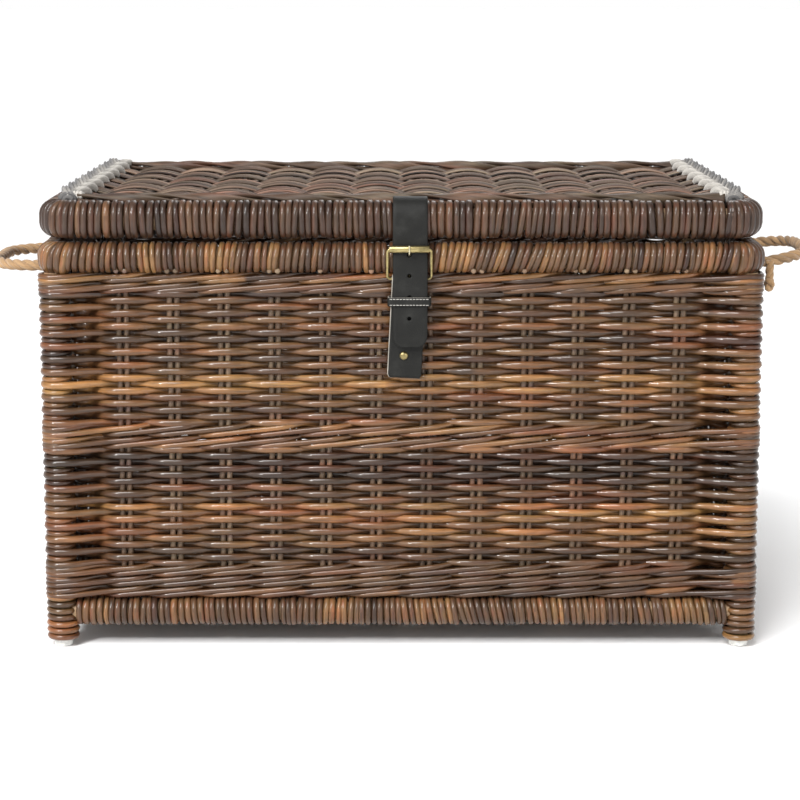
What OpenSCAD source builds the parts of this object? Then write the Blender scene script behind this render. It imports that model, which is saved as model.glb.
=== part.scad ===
// Woven rattan trunk, low enough to serve as a coffee table: a four-post basket with a hinged woven
// lid, a leather strap with a roller buckle, and a rope handle on each end.
// Millimetres. +X is to the right, the front faces -Y, +Z is up, and the floor is at z = 0.

/* [Basket] */
// Width over the corner posts
basket_w = 800; // [700:10:900]
// Depth over the corner posts
basket_d = 500; // [440:10:560]
// Height of the rim that the lid closes on
rim_top = 460; // [440:5:520]
// Diameter of a corner post with its weavers
post_d = 36; // [34:1:40]
// Diameter of the pole inside a corner post
pole_d = 24; // [20:1:26]
// Thickness of the woven walls
wall_t = 20; // [18:1:22]

/* [Weave] */
// Diameter of a stake
stake_d = 6.5; // [5:0.5:7]
// Gap between the two stakes of a pair
stake_gap = 1.5; // [1:0.5:2]
// Number of stake pairs in the front and in the back wall
long_pairs = 12; // [10:1:12]
// Spacing of the stake pairs in the front and back walls
long_pitch = 56; // [52:1:58]
// Number of stake pairs in each end wall
end_pairs = 7; // [5:1:7]
// Spacing of the stake pairs in the end walls
end_pitch = 58; // [54:1:60]
// How far a wale stands proud of the wall on each side
wale_proud = 3; // [2:0.5:4]
// Height of the top wale, under the rim
wale_top_h = 22; // [18:1:26]
// Height of the middle wale
wale_mid_h = 27; // [22:1:30]
// Underside of the middle wale
wale_mid_z = 228; // [200:1:240]
// Height of the bottom wale
wale_low_h = 37; // [30:1:40]

/* [Rim and base] */
// Diameter of the wrapped rim
rim_d = 35; // [33:1:37]
// How far the rim stands out past the posts' own line
rim_out = 4; // [2:1:6]
// Bend radius of the rim and lid poles at a corner
corner_r = 20; // [19:1:30]
// Diameter of the wrapped base rail
base_d = 33.5; // [31:0.5:36]
// Diameter of the rod inside the base rail
base_rod_d = 22; // [18:1:22]
// Underside of the base rail
base_z = 23.5; // [20:0.5:30]
// Thickness of the woven floor
floor_t = 10; // [8:1:12]
// Diameter of a rod under the floor
bearer_d = 14; // [12:1:16]
// Height of a glide under a post
glide_h = 8; // [6:1:12]
// Diameter of a glide
glide_d = 21; // [18:1:26]

/* [Lid] */
// Gap between the rim and the closed lid
lid_gap = 3; // [2.5:0.5:5]
// Width of the wrapped lid rail
rail_w = 36; // [34:1:38]
// Height of the wrapped lid rail
rail_h = 43; // [40:1:46]
// Thickness of the woven lid panel
panel_t = 16; // [14:1:18]
// Diameter of a batten through the lid panel
batten_d = 7; // [5:1:8]
// Diameter of the twisted border along the panel's long edges
border_d = 12; // [10:1:12]
// How far the lid opens, in degrees
lid_open = 105; // [90:5:110]

/* [Hinges] */
// Distance of each hinge from the middle
hinge_x = 230; // [150:10:260]
// Width of a hinge
hinge_w = 60; // [40:5:80]
// Diameter of a hinge barrel
barrel_d = 9; // [8:0.5:10]
// Diameter of a hinge pin
hinge_pin_d = 4; // [3:0.5:5]
// Thickness of a hinge leaf
leaf_t = 2.2; // [1.5:0.1:2.5]

/* [Strap and buckle] */
// Middle of the strap, to the right of the basket's middle
strap_x = 10; // [0:1:20]
// Width of the strap
strap_w = 38; // [30:1:40]
// Thickness of the leather
strap_t = 3; // [2:0.5:3.5]
// Height of the strap's tip above the floor
strap_tip_z = 346; // [330:1:360]
// Height of the buckle strap's lower end above the floor
buckle_strap_z = 310; // [300:1:320]
// Lean of the buckle strap to the left, in degrees
strap_lean = 3; // [0:0.5:4]
// Spacing of the holes in the strap
hole_pitch = 23.5; // [20:0.5:26]
// Diameter of a hole in the strap
hole_d = 5; // [4:0.5:5]
// Diameter of the buckle wire
wire_d = 3; // [2.5:0.5:3]
// Diameter of the roller
roller_d = 8; // [7:0.5:8]
// Height of the buckle's pivot bar above the floor
bar_z = 421; // [415:1:425]
// Height of the roller above the floor
roller_z = 454.5; // [450:0.5:460]

/* [Rope handles] */
// Diameter of the rope
rope_d = 12; // [10:1:12]
// Height of the handles above the floor
handle_z = 414; // [412:1:415]
// Distance between the two legs of a handle
handle_span = 170; // [160:2:180]
// How far a handle stands out from its pivot line
handle_out = 81.5; // [70:0.5:90]
// Bend radius of a handle
handle_r = 55; // [45:1:60]
// Lift of the right handle as it rests, in degrees
handle_lift = 9; // [0:1:20]
// Length of the knotted tail on the right handle
tail_len = 26; // [20:1:35]

/* [Hidden] */
$fn = 48;
RUN = 0.05;                 // radial clearance of a bar or pin that turns in its hole
AIR = 0.3;                  // gap between pieces that move past each other
post_r = post_d / 2;
pole_r = pole_d / 2;
post_x = basket_w / 2 - post_r;
post_y = basket_d / 2 - post_r;
half_t = wall_t / 2;
wale_t = half_t + wale_proud;
rim_r = rim_d / 2;
rim_x = post_x + rim_out;
rim_y = post_y + rim_out;
rim_z = rim_top - rim_r;
rim_under = rim_top - rim_d;
base_r = base_d / 2;
base_mid = base_z + base_r;
base_top = base_z + base_d;
wale_low_top = base_top + wale_low_h;
wale_mid_top = wale_mid_z + wale_mid_h;
wale_top_z = rim_under - wale_top_h;
floor_z = base_top - floor_t;
bearer_r = bearer_d / 2;
rail_z = rim_top + lid_gap;             // underside of the lid rail
rail_top = rail_z + rail_h;
rail_r = rail_w / 2;
rail_lo = rail_z + rail_r;              // lower and upper centres of the rail's oval section
rail_hi = rail_top - rail_r;
rail_mid = (rail_lo + rail_hi) / 2;
panel_mid = rail_top - 6;
panel_z = panel_mid - panel_t / 2;
border_r = border_d / 2;
border_y = rim_y - 20;
border_z = rail_top - 1;
braid_in_r = 8;                         // the two ropes of the plaited lashing at each end of the lid
braid_out_r = 7;
braid_in_x = rim_x - 27;
braid_out_x = rim_x - 14.5;
braid_in_z = rail_top - 2;
braid_out_z = rail_top + 3;
panel_x = braid_in_x - braid_in_r - 0.2;
panel_y = border_y - border_r - 0.2;
barrel_r = barrel_d / 2;
leaf_y = rim_y + rail_r + AIR;          // wall side of the hinge leaves
barrel_y = leaf_y + barrel_r;
barrel_z = rim_top + lid_gap / 2;
knuckle = hinge_w / 5;
strap_back = rim_y + rail_r + 0.85;     // wall side of the hanging strap
strap_mid = strap_back + strap_t / 2;
strap_front = strap_back + strap_t;
flex_z = rim_top - 3;                   // the line where the strap bends as the lid lifts
hole_z = roller_z - 6.5;
wire_r = wire_d / 2;
roller_r = roller_d / 2;
roller_y = strap_front + AIR + roller_r;
prong_r = 1.55;
prong_y = roller_y + roller_r + RUN + prong_r;
prong_back_y = strap_back - AIR - prong_r;  // the prong behind the hanging strap
buckle_x = strap_x - 1;
buckle_half = strap_w / 2 + 5;          // from the middle of the buckle to an arm
fold_r = wire_r + RUN + strap_t;
bar_y = rim_y + 14;
lower_back = bar_y - fold_r;            // wall side of the buckle strap
lower_front = lower_back + strap_t;
keeper_z = bar_z - 30;
keeper_h = 10;
keeper_t = 2;
rivet_x = strap_x - 7;
rivet_z = 335;
rivet_r = 4.85;
shank_r = 2;
rope_r = rope_d / 2;
pivot_x = post_x + wale_t + 0.5 + rope_r;
leg_y = handle_span / 2;
knot_r = 11;
tail_at = 29;                           // where the tail hangs, out from the right handle's pivot
tail_r = 6;
tail_knot_r = 7.5;
back_reach = barrel_y + barrel_r;
front_reach = prong_y + prong_r;
mid_y = (front_reach - back_reach) / 2; // the basket's middle: it centres the whole object's box

// ---- helpers ----

module basket() translate([0, mid_y, 0]) children();

module along_x(length, r) rotate([0, 90, 0]) cylinder(h = length, r = r, center = true);

module along_y(length, r) rotate([90, 0, 0]) cylinder(h = length, r = r, center = true);

// Keeps its children at the left end (-1) or mirrors them to the right end (1).
module to_end(sx) mirror([sx < 0 ? 0 : 1, 0, 0]) children();

// The four upright cylinders that the corner posts fill.
module post_places(r) for (sx = [-1, 1], sy = [-1, 1])
    translate([sx * post_x, sy * post_y, 0]) cylinder(h = rim_top, r = r);

module stake_pair(z0, z1, extra) for (s = [-1, 1])
    translate([s * (stake_d + stake_gap) / 2, 0, z0]) cylinder(h = z1 - z0, d = stake_d + extra);

// All stakes of the front wall (sy = -1) or the back wall (sy = 1).
module long_stakes(sy, z0, z1, extra = 0) for (i = [0 : long_pairs - 1])
    translate([(i - (long_pairs - 1) / 2) * long_pitch, sy * post_y, 0]) stake_pair(z0, z1, extra);

// All stakes of the left end (sx = -1) or the right end (sx = 1).
module end_stakes(sx, z0, z1, extra = 0) for (i = [0 : end_pairs - 1])
    translate([sx * post_x, (i - (end_pairs - 1) / 2) * end_pitch, 0])
        rotate([0, 0, 90]) stake_pair(z0, z1, extra);

// A straight band of wall between two corner posts, with its stake holes.
module long_band(sy, z0, z1, half, clear = 0) difference() {
    translate([-post_x, sy * post_y - half, z0]) cube([2 * post_x, 2 * half, z1 - z0]);
    post_places(post_r + clear);
    long_stakes(sy, z0 - 1, z1 + 1);
}

module end_band(sx, z0, z1, half, clear = 0) difference() {
    translate([sx * post_x - half, -post_y, z0]) cube([2 * half, 2 * post_y, z1 - z0]);
    post_places(post_r + clear);
    end_stakes(sx, z0 - 1, z1 + 1);
}

// The round holes for the rope of both handles, through an end wall.
module rope_holes(sx) for (s = [-1, 1])
    translate([sx * post_x, s * leg_y, handle_z]) along_x(4 * wale_t, rope_r);

module wale(z0, z1) {
    for (sy = [-1, 1]) long_band(sy, z0, z1, wale_t, 0.5);
    for (sx = [-1, 1]) end_band(sx, z0, z1, wale_t, 0.5);
}

// ---- corner posts, glides and base ----

module corner_post(sx, sy) color("tan") basket() translate([sx * post_x, sy * post_y, 0])
    difference() {
        translate([0, 0, glide_h]) cylinder(h = rim_under - glide_h, r = pole_r);
        translate([0, 0, glide_h - 1]) cylinder(h = 15, r = 3);
    }

module post_weave(sx, sy) color("saddlebrown") basket() difference() {
    translate([sx * post_x, sy * post_y, glide_h]) cylinder(h = rim_under - glide_h, r = post_r);
    translate([sx * post_x, sy * post_y, 0]) cylinder(h = rim_top, r = pole_r);
    translate([0, sy * post_y, base_mid]) along_x(2 * post_x, base_rod_d / 2);
    translate([sx * post_x, 0, base_mid]) along_y(2 * post_y, base_rod_d / 2);
}

module glide(sx, sy) color("white") basket() translate([sx * post_x, sy * post_y, 0]) {
    rotate_extrude() polygon([[0, 0], [glide_d / 2 - 2, 0], [glide_d / 2, 2], [glide_d / 2, glide_h],
        [0, glide_h]]);
    cylinder(h = glide_h + 14, r = 3);
}

module post_fl() corner_post(-1, -1);
module post_fr() corner_post(1, -1);
module post_bl() corner_post(-1, 1);
module post_br() corner_post(1, 1);
module post_weave_fl() post_weave(-1, -1);
module post_weave_fr() post_weave(1, -1);
module post_weave_bl() post_weave(-1, 1);
module post_weave_br() post_weave(1, 1);
module glide_fl() glide(-1, -1);
module glide_fr() glide(1, -1);
module glide_bl() glide(-1, 1);
module glide_br() glide(1, 1);

module base_rods() color("tan") basket() {
    for (sy = [-1, 1]) translate([0, sy * post_y, base_mid])
        along_x(2 * (post_x - pole_r), base_rod_d / 2);
    for (sx = [-1, 1]) translate([sx * post_x, 0, base_mid])
        along_y(2 * (post_y - pole_r), base_rod_d / 2);
}

module base_wrap() color("sienna") basket() {
    end_in = base_r + 0.25;
    for (sy = [-1, 1]) difference() {
        translate([0, sy * post_y, base_mid]) along_x(2 * (post_x - end_in), base_r);
        translate([0, sy * post_y, base_mid]) along_x(2 * basket_w, base_rod_d / 2);
        post_places(post_r);
    }
    for (sx = [-1, 1]) difference() {
        translate([sx * post_x, 0, base_mid]) along_y(2 * (post_y - end_in), base_r);
        translate([sx * post_x, 0, base_mid]) along_y(2 * basket_d, base_rod_d / 2);
        post_places(post_r);
    }
}

module floor_panel() color("peru") basket() difference() {
    translate([base_r - post_x, base_r - post_y, floor_z])
        cube([2 * (post_x - base_r), 2 * (post_y - base_r), floor_t]);
    post_places(post_r);
}

module floor_bearers() color("tan") basket() for (i = [-1, 0, 1])
    translate([i * post_x / 2, 0, floor_z - bearer_r]) difference() {
        along_y(2 * post_y, bearer_r);
        for (sy = [-1, 1]) translate([0, sy * post_y, base_mid - floor_z + bearer_r])
            along_x(4 * bearer_r, base_r);
    }

// ---- woven walls ----

module stakes_long() color("burlywood") basket()
    for (sy = [-1, 1]) long_stakes(sy, base_top, rim_under);

module stakes_ends() color("burlywood") basket()
    for (sx = [-1, 1]) end_stakes(sx, base_top, rim_under);

module weave_front() color("saddlebrown") basket() difference() {
    union() {
        long_band(-1, wale_low_top, wale_mid_z, half_t);
        long_band(-1, wale_mid_top, wale_top_z, half_t);
    }
    translate([rivet_x, -post_y, rivet_z]) along_y(2 * wall_t, shank_r);
}

module weave_back() color("saddlebrown") basket() {
    long_band(1, wale_low_top, wale_mid_z, half_t);
    long_band(1, wale_mid_top, wale_top_z, half_t);
}

module end_weave(sx) color("saddlebrown") basket() {
    end_band(sx, wale_low_top, wale_mid_z, half_t);
    end_band(sx, wale_mid_top, wale_top_z, half_t);
}
module weave_left() end_weave(-1);
module weave_right() end_weave(1);

module wale_top() color("peru") basket() difference() {
    wale(wale_top_z, rim_under);
    for (sx = [-1, 1]) rope_holes(sx);
}
module wale_middle() color("peru") basket() wale(wale_mid_z, wale_mid_top);
module wale_bottom() color("peru") basket() wale(base_top, wale_low_top);

// ---- rims: a bent pole with a close wrapping, for the basket and for the lid ----

// Sweeps a round or ring section along the front and both of its corners.
module swept_long(sy, z, r, r_in) {
    straight = 2 * (rim_x - corner_r);
    difference() {
        translate([0, sy * rim_y, z]) along_x(straight, r);
        if (r_in > 0) translate([0, sy * rim_y, z]) along_x(straight + 2, r_in);
    }
    for (sx = [-1, 1]) translate([sx * (rim_x - corner_r), sy * (rim_y - corner_r), z])
        mirror([sx < 0 ? 1 : 0, 0, 0]) mirror([0, sy < 0 ? 1 : 0, 0])
            rotate_extrude(angle = 90) translate([corner_r, 0]) difference() {
                circle(r = r);
                if (r_in > 0) circle(r = r_in);
            }
}

module swept_end(sx, z, r, r_in) {
    straight = 2 * (rim_y - corner_r);
    difference() {
        translate([sx * rim_x, 0, z]) along_y(straight, r);
        if (r_in > 0) translate([sx * rim_x, 0, z]) along_y(straight + 2, r_in);
    }
}

module rim_pole() color("tan") basket() {
    for (sy = [-1, 1]) swept_long(sy, rim_z, pole_r, 0);
    for (sx = [-1, 1]) swept_end(sx, rim_z, pole_r, 0);
}
// The prong lies in a groove between two turns of the wrapping.
module rim_wrap_front() color("sienna") basket() difference() {
    swept_long(-1, rim_z, rim_r, pole_r);
    translate([buckle_x - prong_r - AIR, -rim_y - rim_r - 1, rim_z - rim_r])
        cube([2 * (prong_r + AIR), 1 + rim_y + rim_r - prong_back_y + prong_r + 2 * AIR,
            hole_z + prong_r + 2 * AIR - rim_z + rim_r]);
}
module rim_wrap_back() color("sienna") basket() swept_long(1, rim_z, rim_r, pole_r);
module rim_wrap_left() color("sienna") basket() swept_end(-1, rim_z, rim_r, pole_r);
module rim_wrap_right() color("sienna") basket() swept_end(1, rim_z, rim_r, pole_r);

// The oval section of the lid rail, round its pole.
module rail_section(hole = true) difference() {
    union() {
        for (y = [rail_lo - rail_mid, rail_hi - rail_mid]) translate([0, y]) circle(r = rail_r);
        square([rail_w, rail_hi - rail_lo], center = true);
    }
    if (hole) circle(r = pole_r);
}

module rail_long(sy) {
    translate([rim_x - corner_r, sy * rim_y, rail_mid]) rotate([90, 0, -90])
        linear_extrude(2 * (rim_x - corner_r)) rail_section();
    for (sx = [-1, 1]) translate([sx * (rim_x - corner_r), sy * (rim_y - corner_r), rail_mid])
        mirror([sx < 0 ? 1 : 0, 0, 0]) mirror([0, sy < 0 ? 1 : 0, 0])
            rotate_extrude(angle = 90) translate([corner_r, 0]) rail_section();
}

module rail_end(sx) translate([sx * rim_x, rim_y - corner_r, rail_mid]) rotate([90, 0, 0])
    linear_extrude(2 * (rim_y - corner_r)) rail_section();

module lid_pole() color("tan") basket() {
    for (sy = [-1, 1]) swept_long(sy, rail_mid, pole_r, 0);
    for (sx = [-1, 1]) swept_end(sx, rail_mid, pole_r, 0);
}
module lid_wrap_front() color("sienna") basket() rail_long(-1);
module lid_wrap_back() color("sienna") basket() rail_long(1);
module lid_wrap_left() color("sienna") basket() rail_end(-1);
module lid_wrap_right() color("sienna") basket() rail_end(1);

// ---- lid panel ----

module battens(extra = 0) for (i = [0 : long_pairs - 1])
    translate([(i - (long_pairs - 1) / 2) * long_pitch, 0, panel_mid])
        along_y(2 * (rim_y - rail_r) + extra, batten_d / 2);

module lid_battens() color("burlywood") basket() difference() {
    battens();
    for (sy = [-1, 1]) translate([0, sy * border_y, border_z]) along_x(2 * rim_x, border_r);
}

module lid_panel() color("rosybrown") basket() difference() {
    translate([-panel_x, -panel_y, panel_z]) cube([2 * panel_x, 2 * panel_y, panel_t]);
    battens(10);
}

module lid_border() color("peru") basket() difference() {
    for (sy = [-1, 1]) translate([0, sy * border_y, border_z]) along_x(2 * panel_x, border_r);
    translate([strap_x, -rim_y, rail_hi]) along_x(strap_w + 1, rail_r + AIR + strap_t + 0.1);
}

module braid(sx) color("gainsboro") basket() {
    translate([sx * braid_in_x, 0, braid_in_z]) along_y(2 * border_y, braid_in_r);
    translate([sx * braid_out_x, 0, braid_out_z]) along_y(2 * border_y, braid_out_r);
}
module lid_braid_left() braid(-1);
module lid_braid_right() braid(1);

// ---- hinges: five knuckles, three on the body leaf and two on the lid leaf ----

module hinge_knuckles(sx, places) for (i = places)
    translate([sx * hinge_x + i * knuckle, barrel_y, barrel_z])
        along_x(knuckle - AIR, barrel_r);

module hinge_bore(sx, r) translate([sx * hinge_x, barrel_y, barrel_z]) along_x(hinge_w + 2, r);

module hinge_leaf_body(sx) color("goldenrod") basket() difference() {
    union() {
        translate([sx * hinge_x - hinge_w / 2, leaf_y, rim_top - 32]) cube([hinge_w, leaf_t, 28.5]);
        for (i = [-2, 0, 2]) translate([sx * hinge_x + i * knuckle - (knuckle - AIR) / 2, leaf_y,
            barrel_z - barrel_r - 2]) cube([knuckle - AIR, leaf_t, barrel_r + 2]);
        hinge_knuckles(sx, [-2, 0, 2]);
    }
    hinge_bore(sx, hinge_pin_d / 2);
}

module hinge_leaf_lid(sx) color("goldenrod") basket() difference() {
    union() {
        translate([sx * hinge_x - hinge_w / 2, leaf_y, barrel_z + barrel_r + 0.5])
            cube([hinge_w, leaf_t, 26]);
        for (i = [-1, 1]) translate([sx * hinge_x + i * knuckle - (knuckle - AIR) / 2, leaf_y, barrel_z])
            cube([knuckle - AIR, leaf_t, barrel_r + 1]);
        hinge_knuckles(sx, [-1, 1]);
    }
    hinge_bore(sx, hinge_pin_d / 2 + RUN);
}

module hinge_pin(sx) color("silver") basket() translate([sx * hinge_x, barrel_y, barrel_z])
    along_x(hinge_w, hinge_pin_d / 2);

module hinge_leaf_body_l() hinge_leaf_body(-1);
module hinge_leaf_body_r() hinge_leaf_body(1);
module hinge_leaf_lid_l() hinge_leaf_lid(-1);
module hinge_leaf_lid_r() hinge_leaf_lid(1);
module hinge_pin_l() hinge_pin(-1);
module hinge_pin_r() hinge_pin(1);

// ---- buckle strap, folded round the buckle's pivot bar ----

module buckle_strap() color("darkslategray") basket() difference() {
    union() {
        translate([buckle_x, 0, bar_z]) rotate([0, strap_lean, 0])
            translate([-strap_w / 2, -lower_front, buckle_strap_z - bar_z])
                cube([strap_w, strap_t, bar_z - buckle_strap_z]);
        translate([buckle_x, -bar_y, bar_z]) along_x(strap_w, fold_r);
    }
    translate([buckle_x, -bar_y, bar_z]) along_x(2 * strap_w, wire_r + RUN);
    translate([buckle_x - 2.5, -bar_y - 10, bar_z - 5]) cube([5, 20, 15]);
    translate([rivet_x, -post_y, rivet_z]) along_y(2 * wall_t, shank_r);
}

module strap_keeper() color("darkslategray") basket() difference() {
    translate([buckle_x - buckle_half, -strap_front - 0.4 - keeper_t, keeper_z])
        cube([2 * buckle_half, strap_front + 0.4 - lower_back + 2 * keeper_t + 0.2, keeper_h]);
    translate([buckle_x - buckle_half + keeper_t, -strap_front - 0.4, keeper_z - 1])
        cube([2 * (buckle_half - keeper_t), strap_front + 0.4 - lower_back + 0.2, keeper_h + 2]);
}

// A domed head on the leather, a shank through the wall, and a washer inside.
module strap_rivet() color("goldenrod") basket() translate([rivet_x, 0, rivet_z]) {
    dome_h = 3;
    ball_r = (rivet_r * rivet_r + dome_h * dome_h) / (2 * dome_h);
    intersection() {
        translate([0, -lower_front - dome_h + ball_r, 0]) sphere(r = ball_r);
        translate([0, -lower_front - dome_h / 2, 0]) along_y(dome_h, rivet_r);
    }
    translate([0, -(lower_front + post_y - half_t - 1) / 2, 0])
        along_y(lower_front - post_y + half_t + 1, shank_r);
    translate([0, -post_y + half_t + 0.5, 0]) along_y(1, 7);
}

module buckle_frame() color("gold") basket() {
    for (at = [[bar_y, bar_z], [roller_y, roller_z]])
        translate([buckle_x, -at[0], at[1]]) along_x(2 * buckle_half, wire_r);
    arm = [roller_y - bar_y, roller_z - bar_z];
    for (sx = [-1, 1]) translate([buckle_x + sx * buckle_half, -bar_y, bar_z])
        rotate([atan2(arm[0], arm[1]), 0, 0]) translate([-wire_r, -wire_d * 0.7, -wire_d * 0.7])
            cube([wire_d, wire_d * 1.4, norm(arm) + wire_d * 1.4]);
}

module buckle_roller() color("gold") basket() translate([buckle_x, -roller_y, roller_z])
    difference() {
        along_x(2 * (buckle_half - wire_r) - 1, roller_r);
        along_x(2 * buckle_half, wire_r + RUN);
    }

// The prong turns on the pivot bar, goes through a hole in the strap and lies on the roller.
module buckle_prong() color("gold") basket() {
    route = [[-bar_y, bar_z], [-prong_back_y, bar_z + 11], [-prong_back_y, hole_z],
        [-prong_y, hole_z], [-prong_y, roller_z + 3.5]];
    translate([buckle_x - prong_r, 0, 0]) rotate([90, 0, 90]) linear_extrude(2 * prong_r) difference() {
        union() {
            translate(route[0]) circle(r = 3.2);
            for (i = [0 : len(route) - 2]) {
                step = route[i + 1] - route[i];
                translate(route[i]) rotate(atan2(step[1], step[0])) translate([0, -prong_r])
                    square([norm(step), 2 * prong_r]);
                translate(route[i + 1]) circle(r = prong_r);
            }
        }
        translate(route[0]) circle(r = wire_r + RUN);
    }
}

// ---- rope handles ----

// Each leg goes through the wall and is knotted inside.
module handle_anchor(sx) color("wheat") basket() to_end(sx) for (s = [-1, 1])
    translate([wale_t + knot_r + 0.1 - post_x, s * leg_y, handle_z]) {
        sphere(r = knot_r);
        rotate([0, -90, 0]) cylinder(h = 2 * wale_t + knot_r + 0.4, r = rope_r);
    }

// A loop that stands out by reach from its pivot line, drawn towards +X and lying flat.
module rope_loop(reach) {
    flat = handle_span - 2 * handle_r;
    for (s = [-1, 1]) {
        translate([0, s * leg_y, 0]) along_y(rope_d, rope_r);
        translate([0, s * leg_y, 0]) rotate([0, 90, 0]) cylinder(h = reach - handle_r, r = rope_r);
        translate([reach - handle_r, s * flat / 2, 0]) mirror([0, s < 0 ? 1 : 0, 0])
            rotate_extrude(angle = 90) translate([handle_r, 0]) circle(r = rope_r);
    }
    translate([reach, 0, 0]) along_y(flat, rope_r);
}

module handle_anchor_left() handle_anchor(-1);
module handle_anchor_right() handle_anchor(1);

module handle_left() color("wheat") basket() translate([-pivot_x, 0, handle_z])
    mirror([1, 0, 0]) rope_loop(handle_out);

module handle_right() color("wheat") basket() translate([pivot_x, 0, handle_z])
    rotate([0, -handle_lift, 0]) rope_loop(handle_out / cos(handle_lift));

// The rope's end, knotted, hangs beside the right handle's front leg.
module handle_tail() color("wheat") basket()
    translate([pivot_x + tail_at * cos(handle_lift), -leg_y - rope_r - AIR - tail_r,
        handle_z + tail_at * sin(handle_lift)]) {
        along_y(2 * tail_r, tail_r);
        translate([0, 0, -tail_len]) cylinder(h = tail_len, r = tail_r);
        translate([0, 0, -tail_len]) sphere(r = tail_knot_r);
    }

// ---- lid strap: over the lid rail, then hanging through the buckle ----

module strap_top() color("darkslategray") basket()
    translate([strap_x, 0, 0]) rotate([90, 0, 90]) translate([0, 0, -strap_w / 2]) {
        translate([-rim_y, rail_hi]) linear_extrude(strap_w) intersection() {
            difference() {
                circle(r = rail_r + AIR + strap_t);
                circle(r = rail_r + AIR);
            }
            reach = 2 * rail_w;
            polygon([[0, 0], [reach * cos(42), reach * sin(42)], [reach, reach], [-reach, reach],
                [-reach, 0]]);
        }
        translate([-rim_y - rail_r - AIR - strap_t, flex_z + strap_t / 2 + 0.2])
            cube([strap_t, rail_hi - flex_z - strap_t / 2 - 0.2, strap_w]);
    }

module strap_tail() color("darkslategray") basket() translate([strap_x, -strap_mid, 0])
    difference() {
        union() {
            translate([0, 0, flex_z]) along_x(strap_w, strap_t / 2);
            translate([-strap_w / 2, -strap_t / 2, strap_tip_z + 12])
                cube([strap_w, strap_t, flex_z - strap_tip_z - 12]);
            translate([0, 0, strap_tip_z]) rotate([90, 0, 0]) translate([0, 0, -strap_t / 2])
                linear_extrude(strap_t) polygon([[-strap_w / 2 + 8, 0], [strap_w / 2 - 8, 0],
                    [strap_w / 2, 12], [-strap_w / 2, 12]]);
        }
        for (i = [0 : 3]) translate([buckle_x - strap_x, 0, hole_z - i * hole_pitch])
            along_y(4 * strap_t, hole_d / 2);
    }

post_fl();
post_fr();
post_bl();
post_br();
post_weave_fl();
post_weave_fr();
post_weave_bl();
post_weave_br();
glide_fl();
glide_fr();
glide_bl();
glide_br();
base_rods();
base_wrap();
floor_panel();
floor_bearers();
stakes_long();
stakes_ends();
weave_front();
weave_back();
weave_left();
weave_right();
wale_top();
wale_middle();
wale_bottom();
rim_pole();
rim_wrap_front();
rim_wrap_back();
rim_wrap_left();
rim_wrap_right();
hinge_leaf_body_l();
hinge_leaf_body_r();
hinge_leaf_lid_l();
hinge_leaf_lid_r();
hinge_pin_l();
hinge_pin_r();
buckle_strap();
strap_keeper();
strap_rivet();
buckle_frame();
buckle_roller();
buckle_prong();
handle_anchor_left();
handle_anchor_right();
handle_left();
handle_right();
handle_tail();
lid_pole();
lid_wrap_front();
lid_wrap_back();
lid_wrap_left();
lid_wrap_right();
lid_battens();
lid_panel();
lid_border();
lid_braid_left();
lid_braid_right();
strap_top();
strap_tail();
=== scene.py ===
"""A woven rattan trunk that serves as a coffee table.

Every rod, strand, wrapping turn and strip is a tube or a band swept along a path that is worked out from
the frame's own boxes. Lengths are in metres. +X is to the right, the front faces -Y and +Z is up.
"""

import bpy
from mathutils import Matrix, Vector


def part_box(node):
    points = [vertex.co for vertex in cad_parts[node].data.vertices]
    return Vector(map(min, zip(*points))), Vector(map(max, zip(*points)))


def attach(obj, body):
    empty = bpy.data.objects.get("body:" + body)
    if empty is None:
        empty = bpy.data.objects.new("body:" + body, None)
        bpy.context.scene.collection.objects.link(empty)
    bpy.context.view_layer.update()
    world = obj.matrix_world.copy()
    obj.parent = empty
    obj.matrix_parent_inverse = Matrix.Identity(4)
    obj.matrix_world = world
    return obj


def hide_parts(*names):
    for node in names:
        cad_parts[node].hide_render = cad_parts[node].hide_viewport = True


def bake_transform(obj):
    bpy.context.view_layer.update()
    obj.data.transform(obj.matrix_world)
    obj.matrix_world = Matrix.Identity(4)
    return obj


bl_info = {
    "name": "Rattan Trunk",
    "version": (1, 0, 0),
    "blender": (4, 5, 0),
    "location": "3D View > Sidebar > Trunk",
    "description": "Weaves a rattan trunk with its lid, strap, buckle and rope handles",
    "category": "Add Mesh",
}

import math

import bpy
import numpy as np
from bpy.props import FloatProperty, FloatVectorProperty, IntProperty, PointerProperty
from mathutils import Vector

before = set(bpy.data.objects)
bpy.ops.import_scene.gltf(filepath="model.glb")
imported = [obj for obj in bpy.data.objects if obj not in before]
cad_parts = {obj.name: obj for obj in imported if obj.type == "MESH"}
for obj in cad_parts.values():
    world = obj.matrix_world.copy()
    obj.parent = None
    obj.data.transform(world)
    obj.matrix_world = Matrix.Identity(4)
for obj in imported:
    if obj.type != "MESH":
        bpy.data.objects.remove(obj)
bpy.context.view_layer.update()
MM = 0.001
UP = np.array([0.0, 0.0, 1.0])


# ---- places, all read from the frame ----


def low(node):
    return np.array(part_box(node)[0])


def high(node):
    return np.array(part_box(node)[1])


def box(node):
    return low(node), high(node)


def middle(node):
    return (low(node) + high(node)) / 2


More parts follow.
